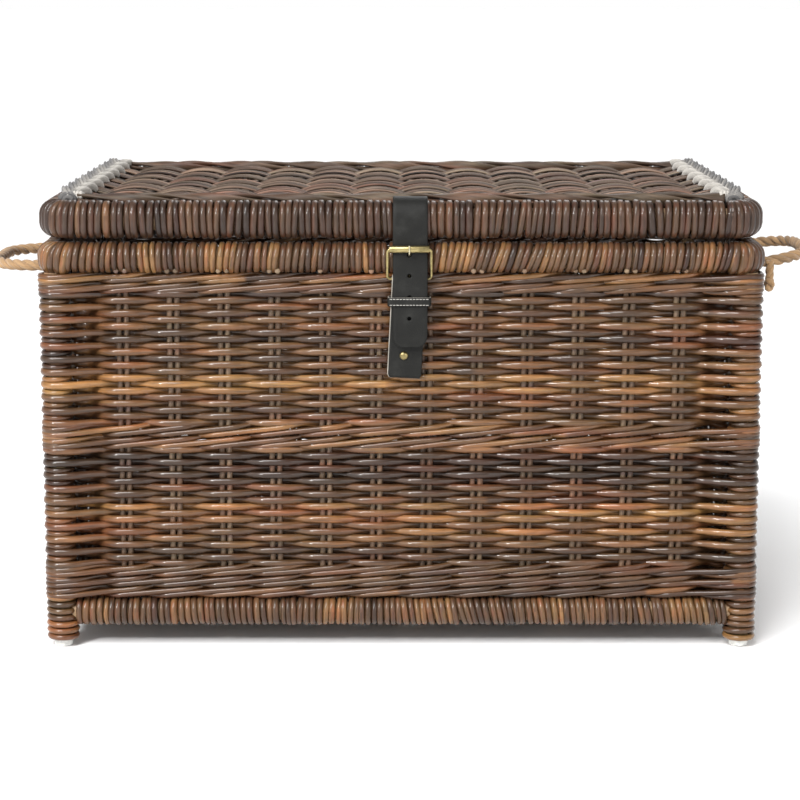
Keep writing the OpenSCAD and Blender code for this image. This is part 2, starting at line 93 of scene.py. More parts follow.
POST_X = middle("post_fr")[0]
MID_Y = (middle("post_fl")[1] + middle("post_bl")[1]) / 2
POST_Y = middle("post_bl")[1] - MID_Y
POLE_R = (high("post_fl") - low("post_fl"))[0] / 2
RIM_LOW = low("rim_wrap_left")
RIM_HIGH = high("rim_wrap_left")
RIM_R = (RIM_HIGH - RIM_LOW)[2] / 2
RIM_Z = (RIM_HIGH + RIM_LOW)[2] / 2
RIM_X = -middle("rim_wrap_left")[0]
RIM_Y = POST_Y + RIM_X - POST_X
CORNER_R = RIM_Y - (RIM_HIGH - RIM_LOW)[1] / 2
RAIL_Z = middle("lid_wrap_left")[2]
RAIL_SIZE = high("lid_wrap_left") - low("lid_wrap_left")
PANEL_Z = middle("lid_battens")[2]


def spaced(count, pitch):
    """Places of a row of count things with that spacing, about zero."""
    return (np.arange(count) - (count - 1) / 2) * pitch


def smooth(t):
    """Eases 0 to 1: 3t^2 - 2t^3."""
    t = np.clip(t, 0, 1)
    return t * t * (3 - 2 * t)


def unit(v):
    return v / np.maximum(np.linalg.norm(v, axis=-1, keepdims=True), 1e-12)


def track(x, y, z):
    """Points (n, 3) of a path from its x, y and z, any of which may be a single number."""
    return np.stack(np.broadcast_arrays(x, y, z), -1)


def run_length(path):
    """The distance along a path at each of its points."""
    return np.concatenate([[0], np.cumsum(np.linalg.norm(np.diff(path, axis=0), axis=1))])


# ---- swept meshes ----


class Sweep:
    """Gathers tubes, each a ring of points carried along a path, and makes one mesh of them.

    A ring at path point p with frame (n, b) is p + a cos(t) n + c sin(t) b. The frame is square to the path:
    b = unit(tangent x up) and n = b x tangent, so the ring never twists while the path isn't along up.
    UV u is the length along the path in metres and v goes once round the ring. The attribute tint, from 0
    to 1, picks each rod's own colour; in the plaited lashing it also holds painted light and shade.
    """

    def __init__(self, sides=8):
        self.sides = sides
        self.points, self.quads, self.caps, self.uvs, self.cap_uvs, self.tints = [], [], [], [], [], []
        self.count = 0

    def add(self, path, radius, up, tint, flat=1.0, closed=False, turn=0.0):
        """radius is across n and radius * flat across b. Both may change along the path."""
        path = np.asarray(path, float)
        rings = len(path)
        if closed:
            tangent = unit(np.roll(path, -1, 0) - np.roll(path, 1, 0))
        else:
            tangent = unit(np.gradient(path, axis=0))
        side = unit(np.cross(tangent, np.broadcast_to(up, path.shape)))
        normal = np.cross(side, tangent)
        angle = np.arange(self.sides) / self.sides * 2 * np.pi + turn
        radius = np.broadcast_to(radius, (rings,))[:, None, None]
        wide = radius * np.broadcast_to(flat, (rings,))[:, None, None]
        ring = path[:, None] + radius * np.cos(angle)[None, :, None] * normal[:, None]
        ring = ring + wide * np.sin(angle)[None, :, None] * side[:, None]
        self.add_rings(ring, tint, closed)

    def add_rings(self, ring, tint, closed=False):
        """ring is (rings, sides, 3): the points of each ring, counted the same way round."""
        rings, sides = ring.shape[:2]
        at = self.count + np.arange(rings * sides).reshape(rings, sides)
        here = at if closed else at[:-1]
        there = np.roll(at, -1, 0) if closed else at[1:]
        quads = np.stack([here, there, np.roll(there, -1, 1), np.roll(here, -1, 1)], -1)
        middle_line = ring.mean(1)
        step = np.linalg.norm(np.diff(middle_line, axis=0, append=middle_line[:1]), axis=1)
        along = np.concatenate([[0], np.cumsum(step)])
        shift = float(np.mean(tint)) * 7.31
        u0 = np.broadcast_to(along[: len(here), None] + shift, here.shape)
        u1 = np.broadcast_to(along[1 : len(here) + 1, None] + shift, here.shape)
        v0 = np.broadcast_to(np.arange(sides)[None] / sides, here.shape)
        v1 = v0 + 1 / sides
        uv = np.stack([np.stack([u0, v0], -1), np.stack([u1, v0], -1),
                       np.stack([u1, v1], -1), np.stack([u0, v1], -1)], 2)
        self.points.append(ring.reshape(-1, 3))
        self.quads.append(quads.reshape(-1, 4))
        self.uvs.append(uv.reshape(-1, 2))
        self.tints.append(np.repeat(np.broadcast_to(tint, (rings,)), sides))
        if not closed:
            self.caps += [at[0], at[-1][::-1]]
            ends = np.stack([np.full(sides, shift), np.arange(sides) / sides], -1)
            self.cap_uvs += [ends, ends]
        self.count += rings * sides

    def piece(self, name, material, body, slot, replaces=()):
        """Makes the mesh object, gives it its material and lets it ride on its body."""
        points = np.concatenate(self.points)
        loops = np.concatenate([np.concatenate(self.quads).ravel(), *self.caps])
        starts = np.arange(0, sum(len(q) for q in self.quads) * 4, 4)
        sizes = [len(c) for c in self.caps]
        cap_starts = len(starts) * 4 + np.concatenate([[0], np.cumsum(sizes)[:-1]]) if sizes else []
        starts = np.concatenate([starts, cap_starts]).astype(np.int32)
        uvs = np.concatenate([np.concatenate(self.uvs), *self.cap_uvs])
        mesh = bpy.data.meshes.new(name)
        mesh.vertices.add(len(points))
        mesh.vertices.foreach_set("co", points.astype(np.float32).ravel())
        mesh.loops.add(len(loops))
        mesh.loops.foreach_set("vertex_index", loops.astype(np.int32))
        mesh.polygons.add(len(starts))
        mesh.polygons.foreach_set("loop_start", starts)
        mesh.polygons.foreach_set("use_smooth", np.ones(len(starts), bool))
        layer = mesh.uv_layers.new(name="UVMap")
        layer.data.foreach_set("uv", uvs.astype(np.float32).ravel())
        tint = mesh.attributes.new("tint", "FLOAT", "POINT")
        tint.data.foreach_set("value", np.concatenate(self.tints).astype(np.float32))
        mesh.update(calc_edges=True)
        mesh.validate()
        return settle(mesh, name, material, body, replaces)


def settle(mesh, name, material, body, replaces=()):
    """Links a finished mesh, gives it its material and lets it ride on its body."""
    thing = bpy.data.objects.new(name, mesh)
    bpy.context.scene.collection.objects.link(thing)
    mesh.materials.clear()
    mesh.materials.append(material)
    if body:
        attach(thing, body)
    if replaces:
        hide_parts(*replaces)
    return thing


# ---- sizes and colours that a user would change ----


class WeaveSizes(bpy.types.PropertyGroup):
    """The rods of the walls, posts and rails."""

    rod: FloatProperty(name="Rod", description="Diameter of a weaver", default=7.0 * MM, unit="LENGTH")
    row: FloatProperty(name="Row", description="Height of one row of weavers", default=7.4 * MM,
                       unit="LENGTH")
    stake: FloatProperty(name="Stake", description="Diameter of a stake", default=6.5 * MM, unit="LENGTH")
    turn: FloatProperty(name="Wrapping turn", description="Diameter of a turn of the wrappings",
                        default=7.0 * MM, unit="LENGTH")
    uneven: FloatProperty(name="Unevenness", description="How far a rod strays from its place",
                          default=0.5 * MM, unit="LENGTH")
    seed: IntProperty(name="Seed", description="Starts the random differences between rods", default=7)


class LidSizes(bpy.types.PropertyGroup):
    """The lid's panel and its edging."""

    strands: IntProperty(name="Strands in a packet", default=12,
                         description="Fine strands that pass over or under together")
    packets: IntProperty(name="Packets", description="Packets of strands from front to back", default=13)
    lobes: IntProperty(name="Lobes", description="Lobes of the plaited lashing at each end", default=9)


class Finishes(bpy.types.PropertyGroup):
    """The main colours."""

    leather: FloatVectorProperty(name="Leather", description="Colour of the strap", subtype="COLOR",
                                 size=3, default=(0.0080, 0.0080, 0.0070))
    brass: FloatVectorProperty(name="Brass", description="Colour of the buckle and the rivet",
                               subtype="COLOR", size=3, default=(0.40, 0.325, 0.15))
    rope: FloatVectorProperty(name="Rope", description="Colour of the rope handles", subtype="COLOR",
                              size=3, default=(0.33, 0.20, 0.095))


class TrunkSettings(bpy.types.PropertyGroup):
    """All settings of the trunk."""

    weave: PointerProperty(type=WeaveSizes)
    lid: PointerProperty(type=LidSizes)
    finish: PointerProperty(type=Finishes)


def settings():
    return bpy.context.scene.trunk


# ---- materials ----


class Paint:
    """One material in the making. Each method adds a node and gives back the socket that it feeds."""

    def __init__(self, name):
        self.material = bpy.data.materials.new(name)
        self.material.use_nodes = True
        self.tree = self.material.node_tree
        self.tree.nodes.clear()

    def node(self, kind, inputs=(), **values):
        """Adds a node. An input that is a socket is linked, and any other input is set."""
        made = self.tree.nodes.new(kind)
        for key, value in values.items():
            setattr(made, key, value)
        for key, value in dict(inputs).items():
            if isinstance(value, bpy.types.NodeSocket):
                self.tree.links.new(value, made.inputs[key])
            else:
                made.inputs[key].default_value = value
        return made

    def place(self):
        return self.node("ShaderNodeTexCoord").outputs["Object"]

    def tint(self):
        return self.node("ShaderNodeAttribute", attribute_name="tint").outputs["Fac"]

    def stretched(self, vector, scale):
        return self.node("ShaderNodeMapping", {"Vector": vector, "Scale": scale}).outputs["Vector"]

    def along(self, scale):
        """The piece's own UV map, stretched by scale along and round the rod."""
        return self.stretched(self.node("ShaderNodeUVMap", uv_map="UVMap").outputs["UV"], (*scale, 1))

    def noise(self, vector, scale, detail, roughness=0.5):
        inputs = {"Vector": vector, "Scale": scale, "Detail": detail, "Roughness": roughness}
        return self.node("ShaderNodeTexNoise", inputs).outputs["Fac"]

    def ranged(self, value, start, end, low=0.0, high=1.0):
        """Turns low to high into start to end."""
        inputs = {"Value": value, "From Min": low, "From Max": high, "To Min": start, "To Max": end}
        return self.node("ShaderNodeMapRange", inputs).outputs["Result"]

    def ramp(self, value, stops):
        """A colour ramp with those (place, colour) stops."""
        made = self.node("ShaderNodeValToRGB", {"Fac": value})
        while len(made.color_ramp.elements) < len(stops):
            made.color_ramp.elements.new(0.5)
        for element, (at, colour) in zip(made.color_ramp.elements, stops):
            element.position = at
            element.color = (*colour, 1)
        return made.outputs["Color"]

    def product(self, first, second):
        return self.node("ShaderNodeMath", {0: first, 1: second}, operation="MULTIPLY").outputs["Value"]

    def stained(self, colour, stain):
        maths = self.node("ShaderNodeVectorMath", {0: colour, 1: stain}, operation="MULTIPLY")
        return maths.outputs["Vector"]

    def shaded(self, colour, depth):
        maths = self.node("ShaderNodeVectorMath", {0: colour, "Scale": depth}, operation="SCALE")
        return maths.outputs["Vector"]

    def bump(self, height, strength, distance):
        inputs = {"Height": height, "Strength": strength, "Distance": distance}
        return self.node("ShaderNodeBump", inputs).outputs["Normal"]

    def finished(self, colour, roughness, **inputs):
        """Links the surface. Any further input is named as on the shader, with _ for a space."""
        inputs = {key.replace("_", " "): value for key, value in inputs.items()}
        inputs.update({"Base Color": colour, "Roughness": roughness})
        shader = self.node("ShaderNodeBsdfPrincipled", inputs)
        self.node("ShaderNodeOutputMaterial", {"Surface": shader.outputs["BSDF"]})
        return self.material


CASTS = [(0.28, (1.16, 0.88, 0.84)), (0.42, (1.03, 0.98, 0.94)), (0.52, (0.98, 1.00, 1.00)),
         (0.62, (0.88, 0.97, 0.90)), (0.72, (0.84, 0.80, 0.98))]


def rattan(name, stops, gloss=0.32, grain=0.6, coat=0.2, specular=0.4, cast=(7, 7, 80)):
    """Stained and lacquered rattan: the tint picks the rod's colour, and streaks run along its length.

    Streaks are noise of (24 u, 9 v). Another noise, of the place times cast, picks from CASTS and turns some
    stretches towards red, olive or purple.
    """
    paint = Paint(name)
    streaks = paint.noise(paint.along((24, 9)), 1.0, 6, 0.66)
    place = paint.place()
    depth = paint.product(paint.ranged(streaks, 1 - grain, 1 + grain, 0.28, 0.72),
                          paint.ranged(paint.noise(place, 26, 2), 0.78, 1.22, 0.3, 0.7))
    cast_noise = paint.noise(paint.stretched(place, cast), 1.0, 1)
    colour = paint.stained(paint.ramp(paint.tint(), stops), paint.ramp(cast_noise, CASTS))
    return paint.finished(paint.shaded(colour, depth), paint.ranged(streaks, gloss - 0.08, gloss + 0.2),
                          Normal=paint.bump(streaks, 0.35, 0.0006), Specular_IOR_Level=specular,
                          Coat_Weight=coat, Coat_Roughness=0.07)


def fibre(name, stops, scale=(30, 14), sheen=0.3):
    """Matt twisted fibre: fine strands along the length, a soft sheen and no gloss."""
    paint = Paint(name)
    hairs = paint.noise(paint.along(scale), 1.0, 7, 0.75)
    colour = paint.shaded(paint.ramp(paint.tint(), stops), paint.ranged(hairs, 0.55, 1.35, 0.25, 0.75))
    return paint.finished(colour, 0.85, Normal=paint.bump(hairs, 0.8, 0.0008), Sheen_Weight=sheen)


def leather(name, colour, rough=0.55):
    """Charcoal strap leather: fine pebbled grain, faint wear where the light noise is high."""
    paint = Paint(name)
    place = paint.place()
    wear = paint.noise(place, 60, 6)
    worn = [(0.3, [c * 0.75 for c in colour]), (0.55, colour), (0.8, [c * 1.7 + 0.004 for c in colour])]
    pebbles = paint.node("ShaderNodeTexVoronoi", {"Vector": place, "Scale": 900}).outputs["Distance"]
    return paint.finished(paint.ramp(wear, worn), paint.ranged(wear, rough - 0.12, rough + 0.15),
                          Normal=paint.bump(pebbles, 0.35, 0.0004), Specular_IOR_Level=0.21)


def metal(name, colour, rough=0.25, tarnish=0.5):
    """Drawn or cast metal: full metallic, with darker, duller patches of tarnish."""
    paint = Paint(name)
    patches = paint.noise(paint.place(), 180, 6)
    tone = paint.ramp(patches, [(0.3, [c * (1 - tarnish) for c in colour]), (0.6, colour)])
    return paint.finished(tone, paint.ranged(patches, rough + 0.2, rough - 0.1), Metallic=1.0,
                          Normal=paint.bump(patches, 0.12, 0.0002))


def moulded(name, colour):
    """Matt moulded plastic with a fine texture and scuffs."""
    paint = Paint(name)
    scuffs = paint.noise(paint.place(), 220, 5)
    tone = paint.ramp(scuffs, [(0.35, [c * 0.72 for c in colour]), (0.6, colour)])
    return paint.finished(tone, 0.55, Normal=paint.bump(scuffs, 0.2, 0.0003))


UMBER = [(0.0, (0.017, 0.0074, 0.0035)), (0.25, (0.043, 0.0191, 0.0079)), (0.5, (0.083, 0.0367, 0.0141)),
         (0.72, (0.132, 0.0595, 0.0216)), (0.88, (0.202, 0.0939, 0.0308)), (1.0, (0.282, 0.1414, 0.0458))]
WALE = [(0.0, (0.031, 0.0126, 0.0048)), (0.4, (0.071, 0.0298, 0.0106)), (0.75, (0.127, 0.0539, 0.0172)),
        (1.0, (0.197, 0.0884, 0.0290))]
WRAP = [(0.0, (0.023, 0.0098, 0.0053)), (0.35, (0.056, 0.0260, 0.0119)), (0.65, (0.092, 0.0442, 0.0202)),
        (0.85, (0.141, 0.0660, 0.0246)), (1.0, (0.168, 0.0840, 0.0310))]
RAIL = [(0.0, (0.021, 0.0098, 0.0057)), (0.4, (0.046, 0.0219, 0.0123)), (0.75, (0.078, 0.0372, 0.0189)),
        (0.9, (0.120, 0.0558, 0.0224)), (1.0, (0.179, 0.0884, 0.0334))]
STAKE = [(0.0, (0.080, 0.0480, 0.0290)), (0.5, (0.150, 0.0920, 0.0570)), (1.0, (0.250, 0.1650, 0.1050))]
FINE = [(0.0, (0.022, 0.0130, 0.0090)), (0.5, (0.076, 0.0470, 0.0330)), (1.0, (0.210, 0.1430, 0.1030))]
BORDER = [(0.0, (0.040, 0.0240, 0.0160)), (0.5, (0.080, 0.0500, 0.0330)), (1.0, (0.140, 0.0950, 0.0620))]
PEELED = [(0, (0.20, 0.13, 0.075)), (1, (0.34, 0.23, 0.13))]
THREAD = [(0, (0.30, 0.29, 0.26)), (1, (0.50, 0.48, 0.44))]
# the plait's tint runs from the pale end of LASHING on the inner crossings to the dark end on the outer side:
# painted light and shade
LASHING = [(0.0, (0.030, 0.0290, 0.0290)), (0.4, (0.105, 0.1000, 0.0980)), (0.65, (0.290, 0.2700, 0.2450)),
           (1.0, (0.500, 0.4700, 0.4250))]
ACROSS = (150, 150, 8)


def material(name):
    """The material of that name, made once."""
    if name in bpy.data.materials:
        return bpy.data.materials[name]
    finish = settings().finish
    rope = np.array(finish.rope)
    makers = {
        "weaver rattan": lambda n: rattan(n, UMBER, gloss=0.36, coat=0.5, specular=0.3),
        "wale rattan": lambda n: rattan(n, WALE, gloss=0.36, coat=0.45, specular=0.3),
        "wrapping": lambda n: rattan(n, WRAP, gloss=0.40, coat=0.3, specular=0.3, cast=ACROSS),
        "rail wrapping": lambda n: rattan(n, RAIL, gloss=0.40, coat=0.3, specular=0.3, cast=ACROSS),
        "stake rattan": lambda n: rattan(n, STAKE, gloss=0.42, coat=0.2, specular=0.3),
        "peeled pole": lambda n: rattan(n, PEELED, gloss=0.5, coat=0),
        "fine strands": lambda n: rattan(n, FINE, gloss=0.48, grain=0.4, coat=0, specular=0.3,
                                         cast=(5, 40, 5)),
        "floor rattan": lambda n: rattan(n, UMBER, gloss=0.42, coat=0.15),
        "border strips": lambda n: rattan(n, BORDER, gloss=0.46, coat=0, specular=0.3),
        "pole core": lambda n: moulded(n, [0.30, 0.19, 0.10]),
        "plaited fibre": lambda n: fibre(n, LASHING, scale=(60, 10), sheen=0.2),
        "twisted rope": lambda n: fibre(n, [(0, rope * 0.45), (0.5, rope), (1, rope * 1.6)], scale=(70, 12)),
        "strap leather": lambda n: leather(n, list(finish.leather)),
        # pale cut edges, put only on the edges that face the light, so partly a painted highlight
        "cut leather with painted highlight": lambda n: leather(n, [0.26, 0.24, 0.21], rough=0.75),
        "waxed thread": lambda n: fibre(n, THREAD, scale=(200, 8)),
        "rubbed brass": lambda n: metal(n, list(finish.brass), rough=0.3),
        "pale brass": lambda n: metal(n, [0.60, 0.55, 0.38], tarnish=0.35),
        "aged brass": lambda n: metal(n, [c * 0.6 for c in finish.brass], rough=0.35, tarnish=0.6),
        "drawn steel": lambda n: metal(n, [0.42, 0.42, 0.43], rough=0.3, tarnish=0.35),
        "pale plastic": lambda n: moulded(n, [0.75, 0.75, 0.72]),
    }
    return makers[name](name)


# ---- the walls: a closed course of places, the four posts and the stake pairs between them ----


class Wall:
    """One wall between two posts: start is the first post's middle, along and out are unit directions."""

    def __init__(self, start, along, out, pairs, pitch):
        self.start, self.along, self.out = np.array(start), np.array(along), np.array(out)
        self.length = 2 * (POST_X if abs(along[0]) > 0.5 else POST_Y)
        self.pairs = self.length / 2 + spaced(pairs, pitch)

    def at(self, s, d):
        """The point at distance s from the first post and d out from the wall's middle plane."""
        return self.start + np.outer(s, self.along) + np.outer(d, self.out)


LONG_PAIRS, LONG_PITCH, END_PAIRS, END_PITCH = 12, 56 * MM, 7, 58 * MM
WALLS = {
    "front": Wall((-POST_X, MID_Y - POST_Y), (1, 0), (0, -1), LONG_PAIRS, LONG_PITCH),
    "right": Wall((POST_X, MID_Y - POST_Y), (0, 1), (1, 0), END_PAIRS, END_PITCH),
    "back": Wall((POST_X, MID_Y + POST_Y), (-1, 0), (0, 1), LONG_PAIRS, LONG_PITCH),
    "left": Wall((-POST_X, MID_Y + POST_Y), (0, -1), (-1, 0), END_PAIRS, END_PITCH),
}
PLACES = 2 * (LONG_PAIRS + END_PAIRS) + 4
PAIR_HALF = 7.2 * MM
CLIMB = 0.65 * MM  # a rod lies this much higher outside a stake than at the wall's middle, and lower inside


def course(signs, amplitude, post_out, post_in, step=5 * MM, bend=7 * MM):
    """The plan of a rod that goes round the whole basket, once, easing out and in.

    signs[k] is 1 where the rod passes outside place k and -1 where it passes inside. Between two places the
    offset eases from one side to the other; round a post it follows an arc of radius post_out, and inside
    one it turns with radius bend. Returns the points (n, 2), the place that each has reached (n,) and its
    side, from 1 outside a stake or a post through 0 where it crosses the wall's middle to -1 inside.
    """
    points, reached, side, k = [], [], [], 0
    for wall in WALLS.values():
        ends = [k, (k + len(wall.pairs) + 1) % PLACES]
        inset = [0.0 if signs[e] > 0 else post_in + bend for e in ends]
        offset = [post_out if signs[e] > 0 else -post_in for e in ends]
        s = np.concatenate([[inset[0]], wall.pairs, [wall.length - inset[1]]])
        d = np.concatenate([[offset[0]], amplitude * signs[k + 1 : k + 1 + len(wall.pairs)], [offset[1]]])
        here = np.linspace(s[0], s[-1], int((s[-1] - s[0]) / step))
        i = np.clip(np.searchsorted(s, here, "right") - 1, 0, len(s) - 2)
        gap = s[i + 1] - s[i]
        rest = np.minimum(PAIR_HALF / gap, 0.4)
        t = (here - s[i]) / gap
        eased = smooth((t - rest) / (1 - 2 * rest))
        away = d[i] + (d[i + 1] - d[i]) * eased
        points.append(wall.at(here, away))
        reached.append(k + i + t)
        side.append(np.clip(away / amplitude, -1, 1))
        turn = np.arctan2(wall.out[1], wall.out[0]) + np.linspace(0, np.pi / 2, 9)[1:-1]
        rim = np.stack([np.cos(turn), np.sin(turn)], -1)
        corner = wall.start + wall.along * wall.length
        if signs[ends[1]] > 0:
            points.append(corner + post_out * rim)
        else:
            points.append(corner - (post_in + bend) * (wall.along + wall.out) + bend * rim)
        k += len(wall.pairs) + 1
        reached.append(np.full(len(turn), float(k)))
        side.append(np.full(len(turn), float(signs[ends[1]])))
    return np.concatenate(points), np.concatenate(reached), np.concatenate(side)


def wandering(rng, count, scale, waves=5):
    """Slow random drift round a closed course: a sum of a few sines with random phases."""
    t = np.linspace(0, 2 * np.pi, count, endpoint=False)
    total = np.zeros(count)
    for n in rng.integers(2, 30, waves):
        total += np.sin(n * t + rng.uniform(0, 6.3)) / waves
    return total * scale * 1.6


def spliced(rng, count, middle_tint, spread, rods=4):
    """Tint along a course that is made of a few rods, each with its own colour."""
    cuts = np.sort(rng.integers(0, count, rods))
    own = np.clip(middle_tint + rng.normal(0, spread, rods), 0.02, 1)
    return own[np.searchsorted(cuts, np.arange(count), "right") % rods]


def row_heights(z0, z1, pitch):
    count = int(round((z1 - z0) / pitch))
    return z0 + (np.arange(count) + 0.5) * (z1 - z0) / count


TUCK = 2 * MM  # how far the fields reach under the wales
FIELDS = {
    "lower": (high("wale_bottom")[2] - TUCK, low("wale_middle")[2] + TUCK),
    "upper": (high("wale_middle")[2] - TUCK, low("wale_top")[2] + TUCK),
}


def row_tint(rng, z):
    """Honey rods a third of the way up the upper field, dark ones under the middle wale, mixed elsewhere."""
    if 0.292 < z < 0.309:
        return 0.86, 0.06
    if 0.190 < z < 0.226:
        return 0.20, 0.10
    if z < 0.190:
        return rng.choice([0.34, 0.50, 0.60, 0.70, 0.82], p=[0.15, 0.25, 0.3, 0.2, 0.1]), 0.12
    return rng.choice([0.24, 0.42, 0.52, 0.60, 0.74], p=[0.2, 0.22, 0.28, 0.2, 0.1]), 0.12


def weave_field(field, sides):
    """The rows of one field as tubes: row j passes outside place k when j + k is even."""
    size = settings().weave
    rng = np.random.default_rng(size.seed + (0 if field == "lower" else 50))
    rods = Sweep(sides)
    rod = size.rod / 2
    amplitude = size.stake / 2 + rod * 0.9
    for j, z in enumerate(row_heights(*FIELDS[field], size.row)):
        signs = np.where((np.arange(PLACES) + j) % 2 == 0, 1, -1)
        plan, _, side = course(signs, amplitude, POLE_R + rod * 0.85, POLE_R + rod * 0.9)
        count, pressed = len(plan), np.abs(side)
        middle_tint, spread = row_tint(rng, z)
        height = z + wandering(rng, count, size.uneven) + CLIMB * side
        radius = rod * (1.06 + 0.15 * pressed + 0.22 * (side < 0) * pressed)
        radius = radius * (1 + rng.normal(0, 0.03) + wandering(rng, count, 0.05))
        tint = spliced(rng, count, middle_tint, spread)
        rods.add(np.column_stack([plan, height]), radius, UP, tint, flat=1 - 0.14 * pressed, closed=True)
    return rods


class TRUNK_OT_weave_walls(bpy.types.Operator):
    """Weave the two fields of single rods round the basket"""

    bl_idname = "trunk.weave_walls"
    bl_label = "Weave the walls"

    def execute(self, context):
        nodes = ["weave_front", "weave_back", "weave_left", "weave_right"]
        weave_field("lower", 7).piece("rows_lower", material("weaver rattan"), "basket", "weaver", nodes)
        weave_field("upper", 7).piece("rows_upper", material("weaver rattan"), "basket", "weaver", nodes)
        return {"FINISHED"}


class TRUNK_OT_set_stakes(bpy.types.Operator):
    """Stand the paired stakes between the base rail and the rim"""

    bl_idname = "trunk.set_stakes"
    bl_label = "Set the stakes"

    def execute(self, context):
        size = settings().weave
        rng = np.random.default_rng(size.seed + 1)
        z0, z1 = low("stakes_long")[2], high("stakes_long")[2]
        z = np.linspace(z0, z1, 26)
        for sides in (("front", "back"), ("left", "right")):
            rods = Sweep(8)
            for name in sides:
                wall = WALLS[name]
                for s in wall.pairs:
                    for half in (-1, 1):
                        at = wall.at([s + half * 4.0 * MM], [0.0])[0]
                        sway = np.sin(z * 60 + rng.uniform(0, 6)) * 0.25 * MM
                        path = track(at[0] + sway * abs(wall.along[0]), at[1] + sway * abs(wall.along[1]), z)
                        radius = size.stake / 2 * (1 + rng.normal(0, 0.03))
                        tint = np.clip(rng.normal(0.5, 0.2), 0, 1)
                        rods.add(path, radius, (wall.out[0], wall.out[1], 0), tint)
            long = sides[0] == "front"
            rods.piece("stakes_long_rods" if long else "stakes_end_rods", material("stake rattan"), "basket",
                       "stake", ["stakes_long" if long else "stakes_ends"])
        return {"FINISHED"}


class TRUNK_OT_trim_stakes(bpy.types.Operator):
    """Trim the ends of the stakes that show under the rim"""

    bl_idname = "trunk.trim_stakes"
    bl_label = "Trim the stake ends"

    def execute(self, context):
        rng = np.random.default_rng(settings().weave.seed + 10)
        ends = Sweep(10)
        for name, wall in WALLS.items():
            for s in wall.pairs:
                at = wall.at([s], [0.0])[0]
                if name == "front" and abs(at[0] - STRAP_X) < STRAP_HALF + 8 * MM:
                    continue
                for half in (-1, 1)[: rng.integers(1, 3)]:
                    out = RIM_R * rng.uniform(0.82, 0.98)
                    steps = np.array([0.3, 0.6, 0.9, 0.97, 1.0])
                    flat = wall.at(np.full(5, s + half * 4.6 * MM), out * steps)
                    height = RIM_Z - RIM_R * 0.55 - 2.4 * MM - steps * 2 * MM
                    radius = np.array([3.0, 3.0, 3.0, 2.5, 1.2]) * MM * rng.uniform(0.85, 1.1)
                    ends.add(np.column_stack([flat, height]), radius, UP, rng.uniform(0.3, 1.0))
        ends.piece("stake_ends", material("stake rattan"), "basket", "stake")
        return {"FINISHED"}


class TRUNK_OT_twist_wales(bpy.types.Operator):
    """Twist the three-rod wales: each rod climbs in front of two places, then drops behind one"""

    bl_idname = "trunk.twist_wales"
    bl_label = "Twist the wales"

    def execute(self, context):
        size = settings().weave
        rng = np.random.default_rng(size.seed + 2)
        rod = 3.25 * MM
        amplitude = size.stake / 2 + rod + 0.6 * MM
        for node, rounds in (("wale_top", 2), ("wale_middle", 2), ("wale_bottom", 3)):
            rods = Sweep(7)
            z0, z1 = low(node)[2], high(node)[2]
            climb = (z1 - z0) / rounds / 2
            for r in range(rounds):
                z = z0 + (r + 0.5) * 2 * climb
                for phase in range(3):
                    places = np.arange(PLACES)
                    signs = np.where((places - phase + r) % 3 == 2, -1, 1)
                    plan, reached, _ = course(signs, amplitude, POLE_R + rod * 1.1, POLE_R + rod,
                                              step=4.5 * MM)
                    w = (reached - phase + r + 0.5) % 3
                    front = -climb + climb * w
                    behind = climb - 2 * climb * smooth(w - 2)
                    count = len(plan)
                    height = z + np.where(w < 2, front, behind) * (0.86 + wandering(rng, count, 0.12))
                    radius = rod * (1 + wandering(rng, count, 0.05))
                    tint = spliced(rng, count, 0.6 if node != "wale_bottom" else 0.45, 0.22, rods=6)
                    rods.add(np.column_stack([plan, height]), radius, UP, tint, closed=True, turn=np.pi / 2)
            rods.piece(node + "_rods", material("wale rattan"), "basket", "wale", [node])
        return {"FINISHED"}


class TRUNK_OT_wind_posts(bpy.types.Operator):
    """Wind rods round the corner posts, one turn to each row, over the bare poles"""

    bl_idname = "trunk.wind_posts"
    bl_label = "Wind the posts"

    def execute(self, context):
        size = settings().weave
        rng = np.random.default_rng(size.seed + 3)
        angle = np.linspace(0, 2 * np.pi, 24, endpoint=False)
        field_rows = np.concatenate([row_heights(*FIELDS[f], size.row) for f in FIELDS])
        below = row_heights(low("post_weave_fl")[2], FIELDS["lower"][0], size.row)
        between = row_heights(FIELDS["lower"][1], FIELDS["upper"][0], size.row)
        above = row_heights(FIELDS["upper"][1], high("post_weave_fl")[2], size.row)
        heights = [(z, 3.05 * MM, 14.3 * MM) for z in field_rows]
        heights += [(z, 3.45 * MM, 14.9 * MM) for z in np.concatenate([below, between, above])]
        for post in ("fl", "fr", "bl", "br"):
            rods = Sweep(7)
            x, y, _ = middle("post_" + post)
            for z, rod, reach in heights:
                reach = reach * (1 + rng.normal(0, 0.012))
                lean = rng.normal(0, 0.03)
                path = track(x + reach * np.cos(angle), y + reach * np.sin(angle),
                             z + reach * lean * np.sin(angle + rng.uniform(0, 6)))
                middle_tint, spread = row_tint(rng, z)
                tint = np.clip(rng.normal(middle_tint, spread), 0.02, 1)
                rods.add(path, rod, UP, tint, closed=True, turn=np.pi / 2)
            rods.piece("post_windings_" + post, material("weaver rattan"), "basket", "weaver",
                       ["post_weave_" + post])
            pole = Sweep(20)
            z0, z1 = low("post_" + post)[2], high("post_" + post)[2]
            z = np.linspace(z0 + 0.3 * MM, z1, 24)
            pole.add(track(x, y, z), POLE_R - 0.2 * MM, (1, 0, 0), rng.uniform(0.2, 0.8))
            pole.piece("post_pole_" + post, material("peeled pole"), "basket", "pole", ["post_" + post])
        return {"FINISHED"}


# ---- wrapped rails ----


